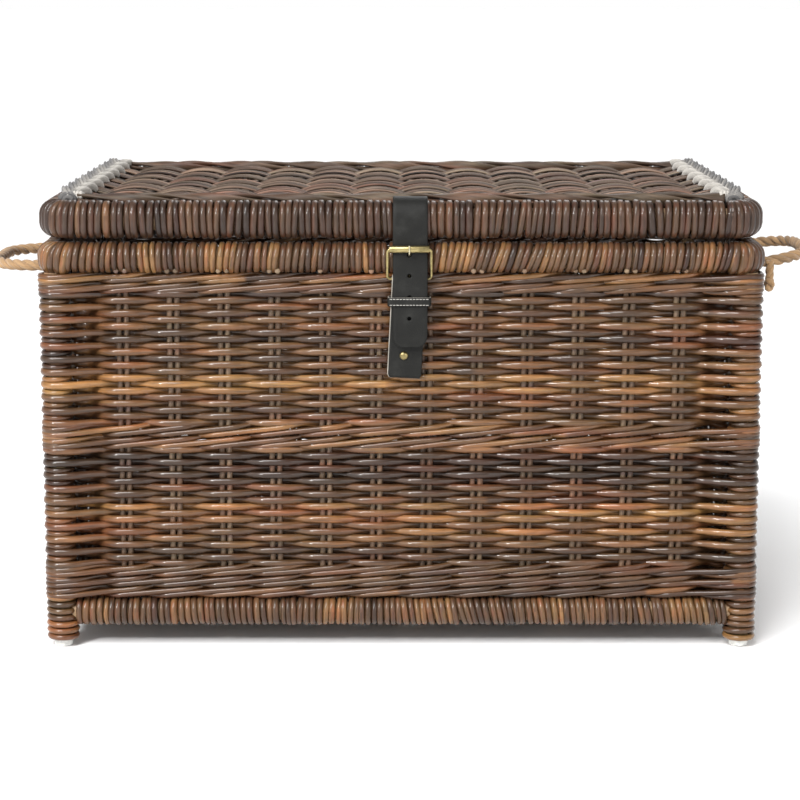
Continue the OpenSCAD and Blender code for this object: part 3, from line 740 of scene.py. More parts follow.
def oblong(half_x, half_y, radius, corner_step=0.9 * MM):
    """Arc lengths and frames along a rectangle with round corners: centre (n, 2), out (n, 2), corner (n,).

    The list is dense, so a turn of wrapping takes the entry nearest to its own arc length.
    """
    points, outs, corners = [], [], []
    for quarter, (sx, sy) in enumerate([(1, -1), (1, 1), (-1, 1), (-1, -1)]):
        angle = -np.pi / 2 + quarter * np.pi / 2 + np.linspace(0, np.pi / 2, int(radius * 1.6 / corner_step))
        out = np.stack([np.cos(angle), np.sin(angle)], -1)
        centre = np.array([sx * (half_x - radius), MID_Y + sy * (half_y - radius)])
        points.append(centre + radius * out)
        outs.append(out)
        corners.append(np.ones(len(angle)))
        run = 2 * ((half_y if quarter % 2 == 0 else half_x) - radius)
        steps = int(run / corner_step)
        t = (np.arange(steps) + 0.5)[:, None] / steps
        points.append(points[-1][-1] + out[-1] @ np.array([[0, 1], [-1, 0]]) * run * t)
        outs.append(np.repeat(out[-1:], steps, 0))
        corners.append(np.zeros(steps))
    return np.concatenate(points), np.concatenate(outs), np.concatenate(corners)


def grouped(rng, count, base, spread, bright_share, bright=0.93):
    """Tints of neighbouring turns: mostly near base, with runs of a few bright turns."""
    tint = np.clip(rng.normal(base, spread, count), 0.02, 1)
    k = 0
    while k < count:
        if rng.uniform() < bright_share:
            run = rng.integers(2, 7)
            tint[k : k + run] = np.clip(rng.normal(bright, 0.06, len(tint[k : k + run])), 0, 1)
            k += run
        k += rng.integers(3, 9)
    return tint


def wrap_rail(rods, rng, centre, out, z, size, radius, tint, lean, sides=24):
    """One turn of wrapping: an oval in the plane across the rail, leaning a little along it.

    With half sizes a and b and a straight of s between the half circles, the section is
    (a cos t, b sin t + s sign(sin t)), drawn in by a tenth at its waist where there is a straight; the turn
    shifts along the rail by lean times its height.
    """
    t = np.linspace(0, 2 * np.pi, sides, endpoint=False) + 0.13
    half, straight = size
    run = np.array([-out[1], out[0], 0.0])
    out3 = np.array([out[0], out[1], 0.0])
    across = (half - radius * 0.8) * np.cos(t)
    up = (half - radius * 0.8) * np.sin(t) + straight * np.sign(np.sin(t))
    if straight:
        across = across * (1 - 0.10 * np.exp(-((up / straight) ** 2)))
    path = np.array([centre[0], centre[1], z]) + np.outer(across, out3) + np.outer(up, UP)
    path = path + np.outer(up * lean + rng.normal(0, 0.12 * MM, sides), run)
    rods.add(path, radius, run, tint, flat=0.8, closed=True)


def wrap_route(rods, rng, route, z, size, radius, lean, tints, corner_radius=None, sway=0.05, drop=0.0):
    """Sets turns side by side along a route, each as wide as itself, wider apart at a corner's inside.

    The lean drifts by sway, as sin(9 s) + sin(23 s). At a corner the turns reach lower by drop.
    """
    points, outs, corners = route
    along = run_length(points)
    s, k = 0.0, 0
    while s < along[-1]:
        i = min(int(np.searchsorted(along, s)), len(points) - 1)
        r = radius * (1 + np.clip(rng.normal(0, 0.11), -0.2, 0.25))
        if corners[i] and corner_radius:
            r = corner_radius * (1 + rng.normal(0, 0.05))
        swell = 1 + rng.normal(0, 0.012)
        low_end = drop * corners[i]
        slope = lean + sway * (math.sin(9 * s) + math.sin(23 * s + 1)) * (1 - corners[i])
        wrap_rail(rods, rng, points[i], outs[i], z + rng.normal(0, 0.2 * MM) - low_end,
                  (size[0] * swell, size[1] + low_end), r, tints[k % len(tints)], slope + rng.normal(0, 0.04))
        squeeze = CORNER_R / (CORNER_R + size[0]) if corners[i] else 1.0
        s += 2 * r * squeeze * 0.97
        k += 1


class TRUNK_OT_wrap_rails(bpy.types.Operator):
    """Wrap the rim and the lid rail, turn by turn"""

    bl_idname = "trunk.wrap_rails"
    bl_label = "Wrap the rails"

    def execute(self, context):
        size = settings().weave
        rng = np.random.default_rng(size.seed + 4)
        route = oblong(RIM_X, RIM_Y, CORNER_R)
        turn = size.turn / 2
        rim = Sweep(6)
        wrap_route(rim, rng, route, RIM_Z, (RIM_R, 0.0), turn * 1.02, 0.15,
                   grouped(rng, 500, 0.52, 0.18, 0.28), corner_radius=4.6 * MM, sway=0.12, drop=1.8 * MM)
        walls = ["front", "back", "left", "right"]
        rim.piece("rim_turns", material("wrapping"), "basket", "wrap", ["rim_wrap_" + w for w in walls])
        rail = Sweep(6)
        half, straight = RAIL_SIZE[0] / 2, (RAIL_SIZE[2] - RAIL_SIZE[0]) / 2
        wrap_route(rail, rng, oblong(RIM_X - 4 * MM, RIM_Y, CORNER_R), RAIL_Z, (half, straight),
                   turn * 1.12, 0.02, grouped(rng, 500, 0.42, 0.17, 0.14), corner_radius=4.6 * MM)
        rail.piece("rail_turns", material("rail wrapping"), "lid", "wrap", ["lid_wrap_" + w for w in walls])
        return {"FINISHED"}


class TRUNK_OT_wrap_base(bpy.types.Operator):
    """Wrap the base rails between the posts"""

    bl_idname = "trunk.wrap_base"
    bl_label = "Wrap the base"

    def execute(self, context):
        size = settings().weave
        rng = np.random.default_rng(size.seed + 5)
        z0, z1 = low("base_wrap")[2], high("base_wrap")[2]
        rods = Sweep(6)
        post = (high("post_weave_fl") - low("post_weave_fl"))[0] / 2
        for wall in WALLS.values():
            s = np.arange(post + 2 * MM, wall.length - post - 1 * MM, 0.8 * MM)
            centres = wall.at(s, np.zeros_like(s))
            outs = np.repeat(wall.out[None].astype(float), len(s), 0)
            wrap_route(rods, rng, (centres, outs, np.zeros(len(s))), (z0 + z1) / 2, ((z1 - z0) / 2, 0.0),
                       size.turn / 2 * 1.02, -0.10, grouped(rng, 160, 0.54, 0.2, 0.25), sway=0.09)
        rods.piece("base_turns", material("wrapping"), "basket", "wrap", ["base_wrap"])
        return {"FINISHED"}


# ---- floor of the basket ----


def over_under(s, places, signs, rest):
    """The side that a strand is on at s, from -1 to 1, easing between places where it holds signs."""
    i = np.clip(np.searchsorted(places, s, "right") - 1, 0, len(places) - 2)
    gap = places[i + 1] - places[i]
    t = (s - places[i]) / gap
    eased = smooth((t - rest) / (1 - 2 * rest))
    return signs[i] + (signs[i + 1] - signs[i]) * eased


class TRUNK_OT_lay_floor(bpy.types.Operator):
    """Lay the woven floor on its three bearers"""

    bl_idname = "trunk.lay_floor"
    bl_label = "Lay the floor"

    def execute(self, context):
        size = settings().weave
        rng = np.random.default_rng(size.seed + 6)
        (x0, y0, z0), (x1, y1, z1) = box("floor_panel")
        z, rod, stick = (z0 + z1) / 2, 2.7 * MM, 2.2 * MM
        wave = (z1 - z0) / 2 - rod
        sticks = spaced(LONG_PAIRS + 1, LONG_PITCH)
        places = np.concatenate([[x0], sticks, [x1]])
        s = np.linspace(x0, x1, 118)
        rods = Sweep(6)
        count = int((y1 - y0) / (2 * rod + 0.3 * MM))
        for j in range(count):
            y = y0 + (j + 0.5) * (y1 - y0) / count
            signs = np.where((np.arange(len(places)) + j) % 2 == 0, 1.0, -1.0)
            height = z + wave * over_under(s, places, signs, 0.12)
            drift = rng.normal(0, 0.15 * MM) + 0.2 * MM * np.sin(s * 25 + rng.uniform(0, 6))
            rods.add(track(s, y + drift, height), rod * (1 + rng.normal(0, 0.04)), UP,
                     np.clip(rng.normal(0.55, 0.14), 0, 1))
        rods.piece("floor_rods", material("floor rattan"), "basket", "floor_weave", ["floor_panel"])
        cross = Sweep(8)
        t = np.linspace(y0, y1, 30)
        for x in sticks:
            cross.add(track(x, t, z), stick, UP, rng.uniform(0.3, 0.7))
        cross.piece("floor_sticks", material("stake rattan"), "basket", "stake")
        bearers = Sweep(16)
        (bx0, by0, bz0), (bx1, by1, bz1) = box("floor_bearers")
        radius = (bz1 - bz0) / 2
        t = np.linspace(by0, by1, 40)
        for x in (bx0 + radius, (bx0 + bx1) / 2, bx1 - radius):
            knots = 1 + 0.05 * np.exp(-(((t * 7 + rng.uniform()) % 1 - 0.5) / 0.05) ** 2)
            bearers.add(track(x, t, (bz0 + bz1) / 2), radius * knots * 0.96, UP, rng.uniform(0.2, 0.8))
        bearers.piece("floor_bearer_rods", material("peeled pole"), "basket", "pole", ["floor_bearers"])
        return {"FINISHED"}


# ---- the lid's panel ----


class TRUNK_OT_weave_lid(bpy.types.Operator):
    """Weave the lid panel: packets of fine strands pass over and under the battens"""

    bl_idname = "trunk.weave_lid"
    bl_label = "Weave the lid panel"

    def execute(self, context):
        size, lid = settings().weave, settings().lid
        rng = np.random.default_rng(size.seed + 7)
        (x0, y0, _), (x1, y1, _) = box("lid_panel")
        x0, x1 = x0 - 4 * MM, x1 + 4 * MM
        batten = 3.3 * MM
        battens = spaced(LONG_PAIRS, LONG_PITCH)
        s = np.linspace(x0, x1, 98)
        depth = (y1 - y0) / lid.packets
        pitch = depth / lid.strands
        strand = pitch * 0.52
        strands = Sweep(5)
        for p in range(lid.packets):
            for k in range(lid.strands):
                offset = (k - (lid.strands - 1) / 2) / (lid.strands / 2)
                side = np.cos(np.pi * ((s - battens[0]) / LONG_PITCH + p))
                side = np.sign(side) * np.abs(side) ** 0.85
                arch = 5.8 * MM * (0.86 + 0.14 * (1 - offset**2)) * side + rng.normal(0, 0.35 * MM)
                bunch = 1 - 0.03 * np.abs(side)
                y = y0 + (p + 0.5) * depth + offset * depth / 2 * bunch
                y = y + 0.22 * MM * np.sin(s * 40 + rng.uniform(0, 6.3))
                z = PANEL_Z + arch + 0.2 * MM * np.sin(s * 31 + rng.uniform(0, 6.3))
                tint = np.clip(rng.normal(0.5, 0.28), 0, 1)
                strands.add(track(s, y, z), strand * (1 + rng.normal(0, 0.05)), UP, tint)
        strands.piece("lid_strands", material("fine strands"), "lid", "fine_weave", ["lid_panel"])
        rods = Sweep(8)
        (_, by0, _), (_, by1, _) = box("lid_battens")
        t = np.linspace(by0, by1, 40)
        for x in battens:
            rods.add(track(x, t, PANEL_Z), batten, UP, rng.uniform(0.2, 0.8))
        rods.piece("lid_batten_rods", material("stake rattan"), "lid", "stake", ["lid_battens"])
        return {"FINISHED"}


class TRUNK_OT_twist_border(bpy.types.Operator):
    """Twist two flat strips along each long edge of the lid panel"""

    bl_idname = "trunk.twist_border"
    bl_label = "Twist the border"

    def execute(self, context):
        rng = np.random.default_rng(settings().weave.seed + 8)
        (x0, y0, z0), (x1, y1, z1) = box("lid_border")
        radius = (z1 - z0) / 2
        z = (z0 + z1) / 2
        pitch = 190 * MM
        x = np.linspace(x0 - 6 * MM, x1 + 6 * MM, 300)
        strips, strip_half = Sweep(10), 2.5 * MM
        for y in (y0 + radius, y1 - radius):
            for k in range(2):
                angle = 2 * np.pi * x / pitch + np.pi * k + rng.uniform(0, 0.3)
                away = track(0, np.cos(angle), np.sin(angle))
                path = track(x, y, z) + away * 2.9 * MM
                wide = 6.2 * MM * (1 + 0.08 * np.sin(x * 23 + k))
                strips.add(path, strip_half, away, np.clip(0.45 + 0.25 * np.sin(x * 9 + 2 * k), 0, 1),
                           flat=wide / strip_half)
        strips.piece("border_strips", material("border strips"), "lid", "border", ["lid_border"])
        return {"FINISHED"}


class TRUNK_OT_plait_ends(bpy.types.Operator):
    """Plait the lashing along each end of the lid panel"""

    bl_idname = "trunk.plait_ends"
    bl_label = "Plait the ends"

    def execute(self, context):
        rng = np.random.default_rng(settings().weave.seed + 9)
        lobes = settings().lid.lobes
        for name, sx in (("left", -1), ("right", 1)):
            node = "lid_braid_" + name
            (x0, y0, z0), (x1, y1, z1) = box(node)
            centre_x, half = (x0 + x1) / 2, (x1 - x0) / 2
            thick = 4.8 * MM
            swing, lift = half - 4.5 * MM, 4.4 * MM
            y = np.linspace(y0 - 2 * MM, y1 + 2 * MM, 330)
            plait = Sweep(10)
            for k in range(3):
                angle = 2 * np.pi * ((y - y0) / (y1 - y0) * lobes / 1.5 / 2 + k / 3)
                out = np.sin(angle)
                z = (z0 + z1) / 2 + 1.4 * MM + 2.2 * MM * out + lift * np.sin(2 * angle)
                path = track(centre_x + sx * swing * out, y, z)
                step = unit(np.gradient(path[:, :2], axis=0))
                for beside in (-3.7 * MM, 0, 3.7 * MM):
                    # painted light and shade: each strand is lighter where it crosses on the inner side and
                    # darker where it swings out to the outer side
                    tint = np.clip(0.66 - 0.42 * out + rng.normal(0, 0.07), 0, 1)
                    fine = path + track(-step[:, 1], step[:, 0], 0) * beside
                    plait.add(fine, thick - 0.08 * abs(beside), UP, tint, flat=0.46)
            for y_end in (y0 + 4 * MM, y1 - 4 * MM):
                for turn in range(7):
                    angle = np.linspace(0, 2 * np.pi, 20, endpoint=False)
                    reach = 10.5 * MM * math.sin(math.pi * (turn + 1) / 8)
                    ring = track(centre_x + sx * 2 * MM + reach * np.cos(angle),
                                 y_end + (turn - 3) * 3.3 * MM,
                                 (z0 + z1) / 2 - 1 * MM + reach * 0.62 * np.sin(angle))
                    plait.add(ring, 2.3 * MM, (0, 1, 0), rng.uniform(0.2, 0.5), closed=True)
            plait.piece("end_plait_" + name, material("plaited fibre"), "lid", "lashing", [node])
        return {"FINISHED"}


# ---- leather ----


def leather_ring(half_wide, half_thick, columns=12, bevel=1.1 * MM):
    """A flat section with rounded edges, as (across, through) pairs."""
    across = np.linspace(-1, 1, columns) * (half_wide - bevel)
    front = np.stack([across, np.full(columns, -half_thick)], -1)
    edge = np.array([[half_wide - 0.2 * bevel, -half_thick + 0.4 * bevel], [half_wide, 0.0],
                     [half_wide - 0.2 * bevel, half_thick - 0.4 * bevel]])
    back = -front
    return np.concatenate([front, edge, back, -edge])


def leather_band(path, across, through, half_wide, half_thick, columns=12):
    """Rings (rings, sides, 3) of a strap: path plus the section set out along across and through."""
    rings = []
    for p, a, t, w in zip(path, across, through, np.broadcast_to(half_wide, (len(path),))):
        section = leather_ring(w, half_thick, columns)
        rings.append(p + section[:, :1] * a + section[:, 1:] * t)
    return np.array(rings)


def drill(thing, holes):
    """Cuts holes out of a piece: each is (centre, half size along x, y and z, round or not)."""
    for centre, half, is_round in holes:
        if is_round:
            bpy.ops.mesh.primitive_cylinder_add(vertices=24, radius=half[0], depth=2 * half[1],
                                                rotation=(math.pi / 2, 0, 0), location=centre)
        else:
            bpy.ops.mesh.primitive_cube_add(size=1, location=centre, scale=[2 * h for h in half])
        cutter = bpy.context.object
        cut = thing.modifiers.new("hole", "BOOLEAN")
        cut.object = cutter
        cut.operation = "DIFFERENCE"
        cut.solver = "EXACT"
        bpy.context.view_layer.objects.active = thing
        bpy.ops.object.modifier_apply(modifier=cut.name)
        bpy.data.objects.remove(cutter)


def pale_edges(thing, edge_material, is_edge):
    """Gives the faces that is_edge picks, by normal (n, 3) and middle (n, 3), the pale edge material:
    the cut edge's own pale colour, with a painted highlight where only the edges facing the light are picked.
    """
    mesh = thing.data
    mesh.materials.append(edge_material)
    count = len(mesh.polygons)
    normals, middles = np.empty(count * 3, np.float32), np.empty(count * 3, np.float32)
    mesh.polygons.foreach_get("normal", normals)
    mesh.polygons.foreach_get("center", middles)
    picked = is_edge(normals.reshape(-1, 3), middles.reshape(-1, 3))
    mesh.polygons.foreach_set("material_index", picked.astype(np.int32))


STRAP_X = (low("strap_tail") + high("strap_tail"))[0] / 2
STRAP_HALF = (high("strap_tail") - low("strap_tail"))[0] / 2
STRAP_THICK = 3.0 * MM
STRAP_Y = middle("strap_tail")[1]
STRAP_TIP = low("strap_tail")[2]
RAIL_TOP_CENTRE = (MID_Y - RIM_Y, high("lid_wrap_left")[2] - RAIL_SIZE[0] / 2)
HOLE_TOP, HOLE_PITCH, HOLE_R = 448 * MM, 23.5 * MM, 2.5 * MM
BAR_Y, BAR_Z = high("buckle_frame")[1] - 2.1 * MM, low("buckle_frame")[2] + 2.1 * MM
ROLLER = middle("buckle_roller")
BUCKLE_X = ROLLER[0]
# buckle-strap faces turned left past this get the pale cut-edge colour; only the left side, where the key
# light falls, so partly a painted highlight
EDGE_NORMAL = 0.38


class TRUNK_OT_hang_strap(bpy.types.Operator):
    """Hang the strap: from under the border, over the lid rail and down through the buckle"""

    bl_idname = "trunk.hang_strap"
    bl_label = "Hang the strap"

    def execute(self, context):
        reach = RAIL_TOP_CENTRE[0] - STRAP_Y
        arc = np.radians(np.linspace(42, 180, 34))
        cy, cz = RAIL_TOP_CENTRE
        over = track(STRAP_X, cy + reach * np.cos(arc), cz + reach * np.sin(arc))
        z = np.arange(cz - 3 * MM, STRAP_TIP + 3.5 * MM, -3 * MM)
        tip = STRAP_TIP + (1 - np.sin(np.linspace(0, np.pi / 2, 7)[1:])) * 3 * MM
        path = np.concatenate([over, track(STRAP_X, STRAP_Y, np.concatenate([z, tip]))])
        through = track(0, -np.cos(arc), -np.sin(arc))
        through = np.concatenate([through, np.tile([0.0, 1.0, 0.0], (len(path) - 34, 1))])
        across = np.tile([1.0, 0, 0], (len(path), 1))
        rise = np.clip((path[:, 2] - STRAP_TIP) / (13 * MM), 0, 1)
        half = STRAP_HALF - (1 - np.sqrt(1 - (1 - rise) ** 2)) * 10 * MM
        half[:34] = STRAP_HALF
        strap = Sweep()
        strap.add_rings(leather_band(path, across, through, half, STRAP_THICK / 2), 0.5)
        thing = strap.piece("lid_strap", material("strap leather"), None, "leather",
                            ["strap_top", "strap_tail"])
        holes = [((BUCKLE_X, STRAP_Y, HOLE_TOP - k * HOLE_PITCH), (HOLE_R * 0.9, 6 * MM, HOLE_R), True)
                 for k in range(4)]
        drill(thing, holes)
        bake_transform(thing)
        return {"FINISHED"}


class TRUNK_OT_fold_buckle_strap(bpy.types.Operator):
    """Fold the short strap round the buckle's bar and rivet it to the wall, with its keeper"""

    bl_idname = "trunk.fold_buckle_strap"
    bl_label = "Fold the buckle strap"

    def execute(self, context):
        end_z = low("buckle_strap")[2]
        back_y = high("buckle_strap")[1] - STRAP_THICK / 2
        turn_r = abs(BAR_Y - back_y)
        z = np.linspace(end_z + 1 * MM, BAR_Z, 36)
        up = np.column_stack([np.full(36, back_y), z])
        arc = np.linspace(0, np.pi, 14)[1:]
        fold = np.column_stack([BAR_Y + turn_r * np.cos(arc), BAR_Z + turn_r * np.sin(arc)])
        t = np.linspace(0, 1, 13)[1:]
        ply_y = back_y - STRAP_THICK - 0.1 * MM
        front = np.column_stack([fold[-1, 0] + (ply_y - fold[-1, 0]) * smooth(t * 2.2), BAR_Z - t * 34 * MM])
        line = np.concatenate([up, fold, front])
        step = unit(np.gradient(line, axis=0))
        lean = math.tan(math.radians(3))
        x = BUCKLE_X - np.clip(BAR_Z - line[:, 1], 0, None) * lean
        path = np.column_stack([x, line])
        through = track(0, step[:, 1], -step[:, 0])
        across = np.tile(unit(np.array([1.0, 0, -lean])), (len(line), 1))
        end = np.clip((line[:, 1] - end_z) / (4 * MM), 0, 1)
        half = STRAP_HALF - np.where(np.arange(len(line)) < 6, (1 - end) * 2.5 * MM, 0)
        strap = Sweep()
        strap.add_rings(leather_band(path, across, through, half, STRAP_THICK / 2), 0.5)
        thing = strap.piece("buckle_strap_leather", material("strap leather"), "basket", "leather",
                            ["buckle_strap"])
        drill(thing, [((BUCKLE_X, BAR_Y, BAR_Z), (2.5 * MM, 10 * MM, 9 * MM), False)])
        # only the left-facing edge is pale: the cut edge's colour plus a painted highlight on the side the
        # key light falls on
        pale_edges(thing, material("cut leather with painted highlight"), lambda n, c: n[:, 0] < -EDGE_NORMAL)
        self.stitch_keeper()
        return {"FINISHED"}

    def stitch_keeper(self):
        """The keeper: one loop of leather, a flat section round an oblong, with a row of stitches."""
        (x0, y0, z0), (x1, y1, z1) = box("strap_keeper")
        z, thick = (z0 + z1) / 2, 2.0 * MM
        half_x, half_y = (x1 - x0 - thick) / 2, (y1 - y0 - thick) / 2
        centre_x, centre_y, bend = (x0 + x1) / 2, (y0 + y1) / 2, 2.4 * MM
        angle = (np.arange(4)[:, None] * np.pi / 2 + np.linspace(0, np.pi / 2, 6)[None]).ravel()
        out = np.stack([np.cos(angle), np.sin(angle)], -1)
        corner = np.array([[1, 1], [-1, 1], [-1, -1], [1, -1]]).repeat(6, 0)
        ring = corner * [half_x - bend, half_y - bend] + bend * out
        path = track(centre_x + ring[:, 0], centre_y + ring[:, 1], z)
        outward = track(-out[:, 0], -out[:, 1], 0)
        loop = Sweep()
        rings = leather_band(path, np.tile(UP, (24, 1)), outward, (z1 - z0) / 2, thick / 2, columns=6)
        loop.add_rings(rings, 0.5, closed=True)
        thing = loop.piece("keeper_loop", material("strap leather"), "basket", "leather", ["strap_keeper"])
        # only the keeper's top edge is pale: the cut edge's colour plus a painted highlight where the light
        # from above falls
        pale_edges(thing, material("cut leather with painted highlight"), lambda n, c: n[:, 2] > 0.8)
        stitches = Sweep(6)
        for side in (-1, 1):
            for x in np.arange(x0 + 4 * MM, x1 - 4 * MM, 3.6 * MM):
                t = np.linspace(-1, 1, 5)
                lift = 0.45 * MM * (1 - t**2)
                path = track(x + t * 1.25 * MM, y0 - lift + 0.15 * MM, z + side * ((z1 - z0) / 2 - 1.8 * MM))
                stitches.add(path, 0.42 * MM, UP, 0.5)
        stitches.piece("keeper_stitches", material("waxed thread"), "basket", "leather")


# ---- turned and bent metal ----


def turned(sweep, centre, axis, profile, tint=0.5):
    """A turned piece: rings of radius r at height h along the axis, for each (h, r) of the profile."""
    axis = unit(np.asarray(axis, float))
    first = unit(np.cross(axis, [0.3, 0.5, 0.81]))
    second = np.cross(axis, first)
    angle = np.arange(sweep.sides) / sweep.sides * 2 * np.pi
    circle = np.outer(np.cos(angle), first) + np.outer(np.sin(angle), second)
    rings = [np.asarray(centre) + axis * h + circle * max(r, 0.01 * MM) for h, r in profile]
    sweep.add_rings(np.array(rings)[:, ::-1], tint)


class TRUNK_OT_make_buckle(bpy.types.Operator):
    """Bend the buckle frame, turn its roller and draw its prong"""

    bl_idname = "trunk.make_buckle"
    bl_label = "Make the buckle"

    def execute(self, context):
        wire = 1.65 * MM
        half = (high("buckle_frame") - low("buckle_frame"))[0] / 2 - 1.5 * MM
        slope = unit(np.array([ROLLER[1] - BAR_Y, ROLLER[2] - BAR_Z]))
        length = np.hypot(ROLLER[1] - BAR_Y, ROLLER[2] - BAR_Z)
        bend = 4.2 * MM
        angle = (np.arange(4)[:, None] * np.pi / 2 + np.linspace(0, np.pi / 2, 8)[None]).ravel()
        corner = np.array([[1, 1], [0, 1], [0, 0], [1, 0]]).repeat(8, 0) - [0.5, 0]
        inner = np.array([2 * half - 2 * bend, length - 2 * bend])
        flat = corner * inner + [0, bend] + bend * np.stack([np.cos(angle), np.sin(angle)], -1)
        path = track(BUCKLE_X + flat[:, 0], BAR_Y + flat[:, 1] * slope[0], BAR_Z + flat[:, 1] * slope[1])
        frame_wire = Sweep(12)
        frame_wire.add(path, wire, (0, -slope[1], slope[0]), 0.5, closed=True)
        frame_wire.piece("buckle_wire", material("rubbed brass"), "buckle", "brass", ["buckle_frame"])

        roller_half = (high("buckle_roller") - low("buckle_roller"))[0] / 2
        r = (high("buckle_roller") - low("buckle_roller"))[2] / 2
        roller = Sweep(28)
        end = [(roller_half - 0.8 * MM, r), (roller_half - 0.25 * MM, r - 0.2 * MM),
               (roller_half, r - 0.7 * MM), (roller_half, wire + 0.1 * MM)]
        profile = [(-h, at) for h, at in end[::-1]] + end
        turned(roller, ROLLER, (1, 0, 0), profile)
        roller.piece("buckle_roller_tube", material("rubbed brass"), "roller", "brass", ["buckle_roller"])

        prong = Sweep(12)
        angle = np.linspace(0, 2 * np.pi, 24, endpoint=False)
        eye = track(BUCKLE_X, BAR_Y + 2.7 * MM * np.cos(angle), BAR_Z + 2.7 * MM * np.sin(angle))
        prong.add(eye, 1.1 * MM, (1, 0, 0), 0.5, flat=1.0, closed=True)
        front = low("buckle_prong")[1] + 1.55 * MM
        back = STRAP_Y + STRAP_THICK / 2 + 1.6 * MM
        stops = np.array([[BAR_Y + 1 * MM, BAR_Z + 2.6 * MM], [back + 0.4 * MM, BAR_Z + 12 * MM],
                          [back, HOLE_TOP - 5 * MM], [STRAP_Y, HOLE_TOP - 0.4 * MM],
                          [front + 2.2 * MM, HOLE_TOP + 0.6 * MM], [front, HOLE_TOP + 4 * MM],
                          [front, ROLLER[2] + 4.6 * MM]])
        line = rounded_line(stops, 46)
        t = np.linspace(0, 1, len(line))
        path = track(BUCKLE_X, line[:, 0], line[:, 1])
        prong.add(path, 1.35 * MM - 0.35 * MM * t, (1, 0, 0), 0.5, flat=1.15)
        prong.piece("buckle_tongue", material("pale brass"), "prong", "brass", ["buckle_prong"])
        return {"FINISHED"}


def rounded_line(stops, count):
    """A line through stops, in even steps, its bends eased by three rounds of averaging neighbours."""
    stops = np.asarray(stops, float)
    step = run_length(stops)
    s = np.linspace(0, step[-1], count)
    line = np.stack([np.interp(s, step, stops[:, k]) for k in range(stops.shape[1])], -1)
    for _ in range(3):
        line[1:-1] = (line[:-2] + 2 * line[1:-1] + line[2:]) / 4
    return line


class TRUNK_OT_set_rivet(bpy.types.Operator):
    """Set the domed rivet with its washer inside"""

    bl_idname = "trunk.set_rivet"
    bl_label = "Set the rivet"

    def execute(self, context):
        (x0, y0, z0), (x1, y1, z1) = box("strap_rivet")
        centre = np.array([(x0 + x1) / 2, y0, (z0 + z1) / 2])
        head, washer, rise = 4.85 * MM, (x1 - x0) / 2, 3 * MM
        t = np.linspace(0, np.pi / 2, 9)
        dome = [(rise * (1 - np.cos(a)), head * np.sin(a)) for a in t]
        length = y1 - y0
        rivet = Sweep(32)
        turned(rivet, centre, (0, 1, 0), dome + [(rise + 0.4 * MM, head * 0.97), (rise + 0.4 * MM, 2 * MM),
                                                 (length - 1.0 * MM, 2 * MM), (length - 1.0 * MM, washer),
                                                 (length - 0.2 * MM, washer), (length, washer - 0.3 * MM),
                                                 (length, 3 * MM), (length + 1.2 * MM, 2.4 * MM),
                                                 (length + 1.6 * MM, 0)])
        rivet.piece("wall_rivet", material("rubbed brass"), "basket", "brass", ["strap_rivet"])
        return {"FINISHED"}


SCREW_HEAD = np.array([(-1.0, 3.6), (0.05, 3.6), (0.5, 3.1), (0.85, 2.1), (1.0, 0.8), (1.0, 0)]) * MM


class TRUNK_OT_finish_hinges(bpy.types.Operator):
    """Finish the hinges in brass and steel and drive their screws"""

    bl_idname = "trunk.finish_hinges"
    bl_label = "Finish the hinges"

    def execute(self, context):
        for node in ("hinge_leaf_body_l", "hinge_leaf_body_r", "hinge_leaf_lid_l", "hinge_leaf_lid_r"):
            coat(node, material("aged brass"))
        for node in ("hinge_pin_l", "hinge_pin_r"):
            coat(node, material("drawn steel"))
        for body, part in (("basket", "body"), ("lid", "lid")):
            screws = Sweep(20)
            for hand in ("l", "r"):
                (x0, y0, z0), (x1, _, z1) = box(f"hinge_leaf_{part}_{hand}")
                z = z0 + 9 * MM if part == "body" else z1 - 9 * MM
                face = y0 + 2.2 * MM
                for x in (x0 + 9 * MM, (x0 + x1) / 2, x1 - 9 * MM):
                    turned(screws, (x, face, z), (0, 1, 0), SCREW_HEAD)
            screws.piece(f"hinge_screws_{part}", material("drawn steel"), body, "steel")
        return {"FINISHED"}


def coat(node, finish):
    """Gives every material slot of a CAD node that finish."""
    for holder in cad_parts[node].material_slots:
        holder.material = finish


class TRUNK_OT_fit_glides(bpy.types.Operator):
    """Fit a moulded glide under each post and finish the rods inside the rails"""

    bl_idname = "trunk.fit_glides"
    bl_label = "Fit the glides"

    def execute(self, context):
        for post in ("fl", "fr", "bl", "br"):
            (x0, y0, z0), (x1, y1, z1) = box("glide_" + post)
            r = (x1 - x0) / 2
            glide = Sweep(36)
            top = z1 - z0
            profile = [(0, 0), (0, r - 2.4 * MM), (0.5 * MM, r - 1.1 * MM), (1.6 * MM, r - 0.25 * MM),
                       (2.8 * MM, r), (top - 0.8 * MM, r - 0.1 * MM), (top, r - 0.9 * MM), (top, 0)]
            turned(glide, ((x0 + x1) / 2, (y0 + y1) / 2, z0), (0, 0, 1), profile)
            glide.piece("foot_glide_" + post, material("pale plastic"), "basket", "glide", ["glide_" + post])
        for node in ("base_rods", "rim_pole", "lid_pole"):
            coat(node, material("pole core"))
        return {"FINISHED"}


# ---- rope ----


def rope_strands(sweep, path, plane, radius, lay, tint, spread, rng, start=0.0):
    """Three strands laid round a line: strand k is at angle 2 pi (s / lay + k / 3) in the line's frame."""
    path = np.asarray(path)
    tangent = unit(np.gradient(path, axis=0))
    first = unit(np.cross(np.broadcast_to(plane, path.shape), tangent))
    second = np.cross(tangent, first)
    along = run_length(path)
    for k in range(3):
        angle = 2 * np.pi * (along / lay + k / 3) + start
        away = np.cos(angle)[:, None] * first + np.sin(angle)[:, None] * second
        own = np.clip(tint + rng.normal(0, spread) + 0.05 * np.sin(along * 90 + k), 0, 1)
        sweep.add(path + away * radius * 0.53, radius * 0.60, away, own)


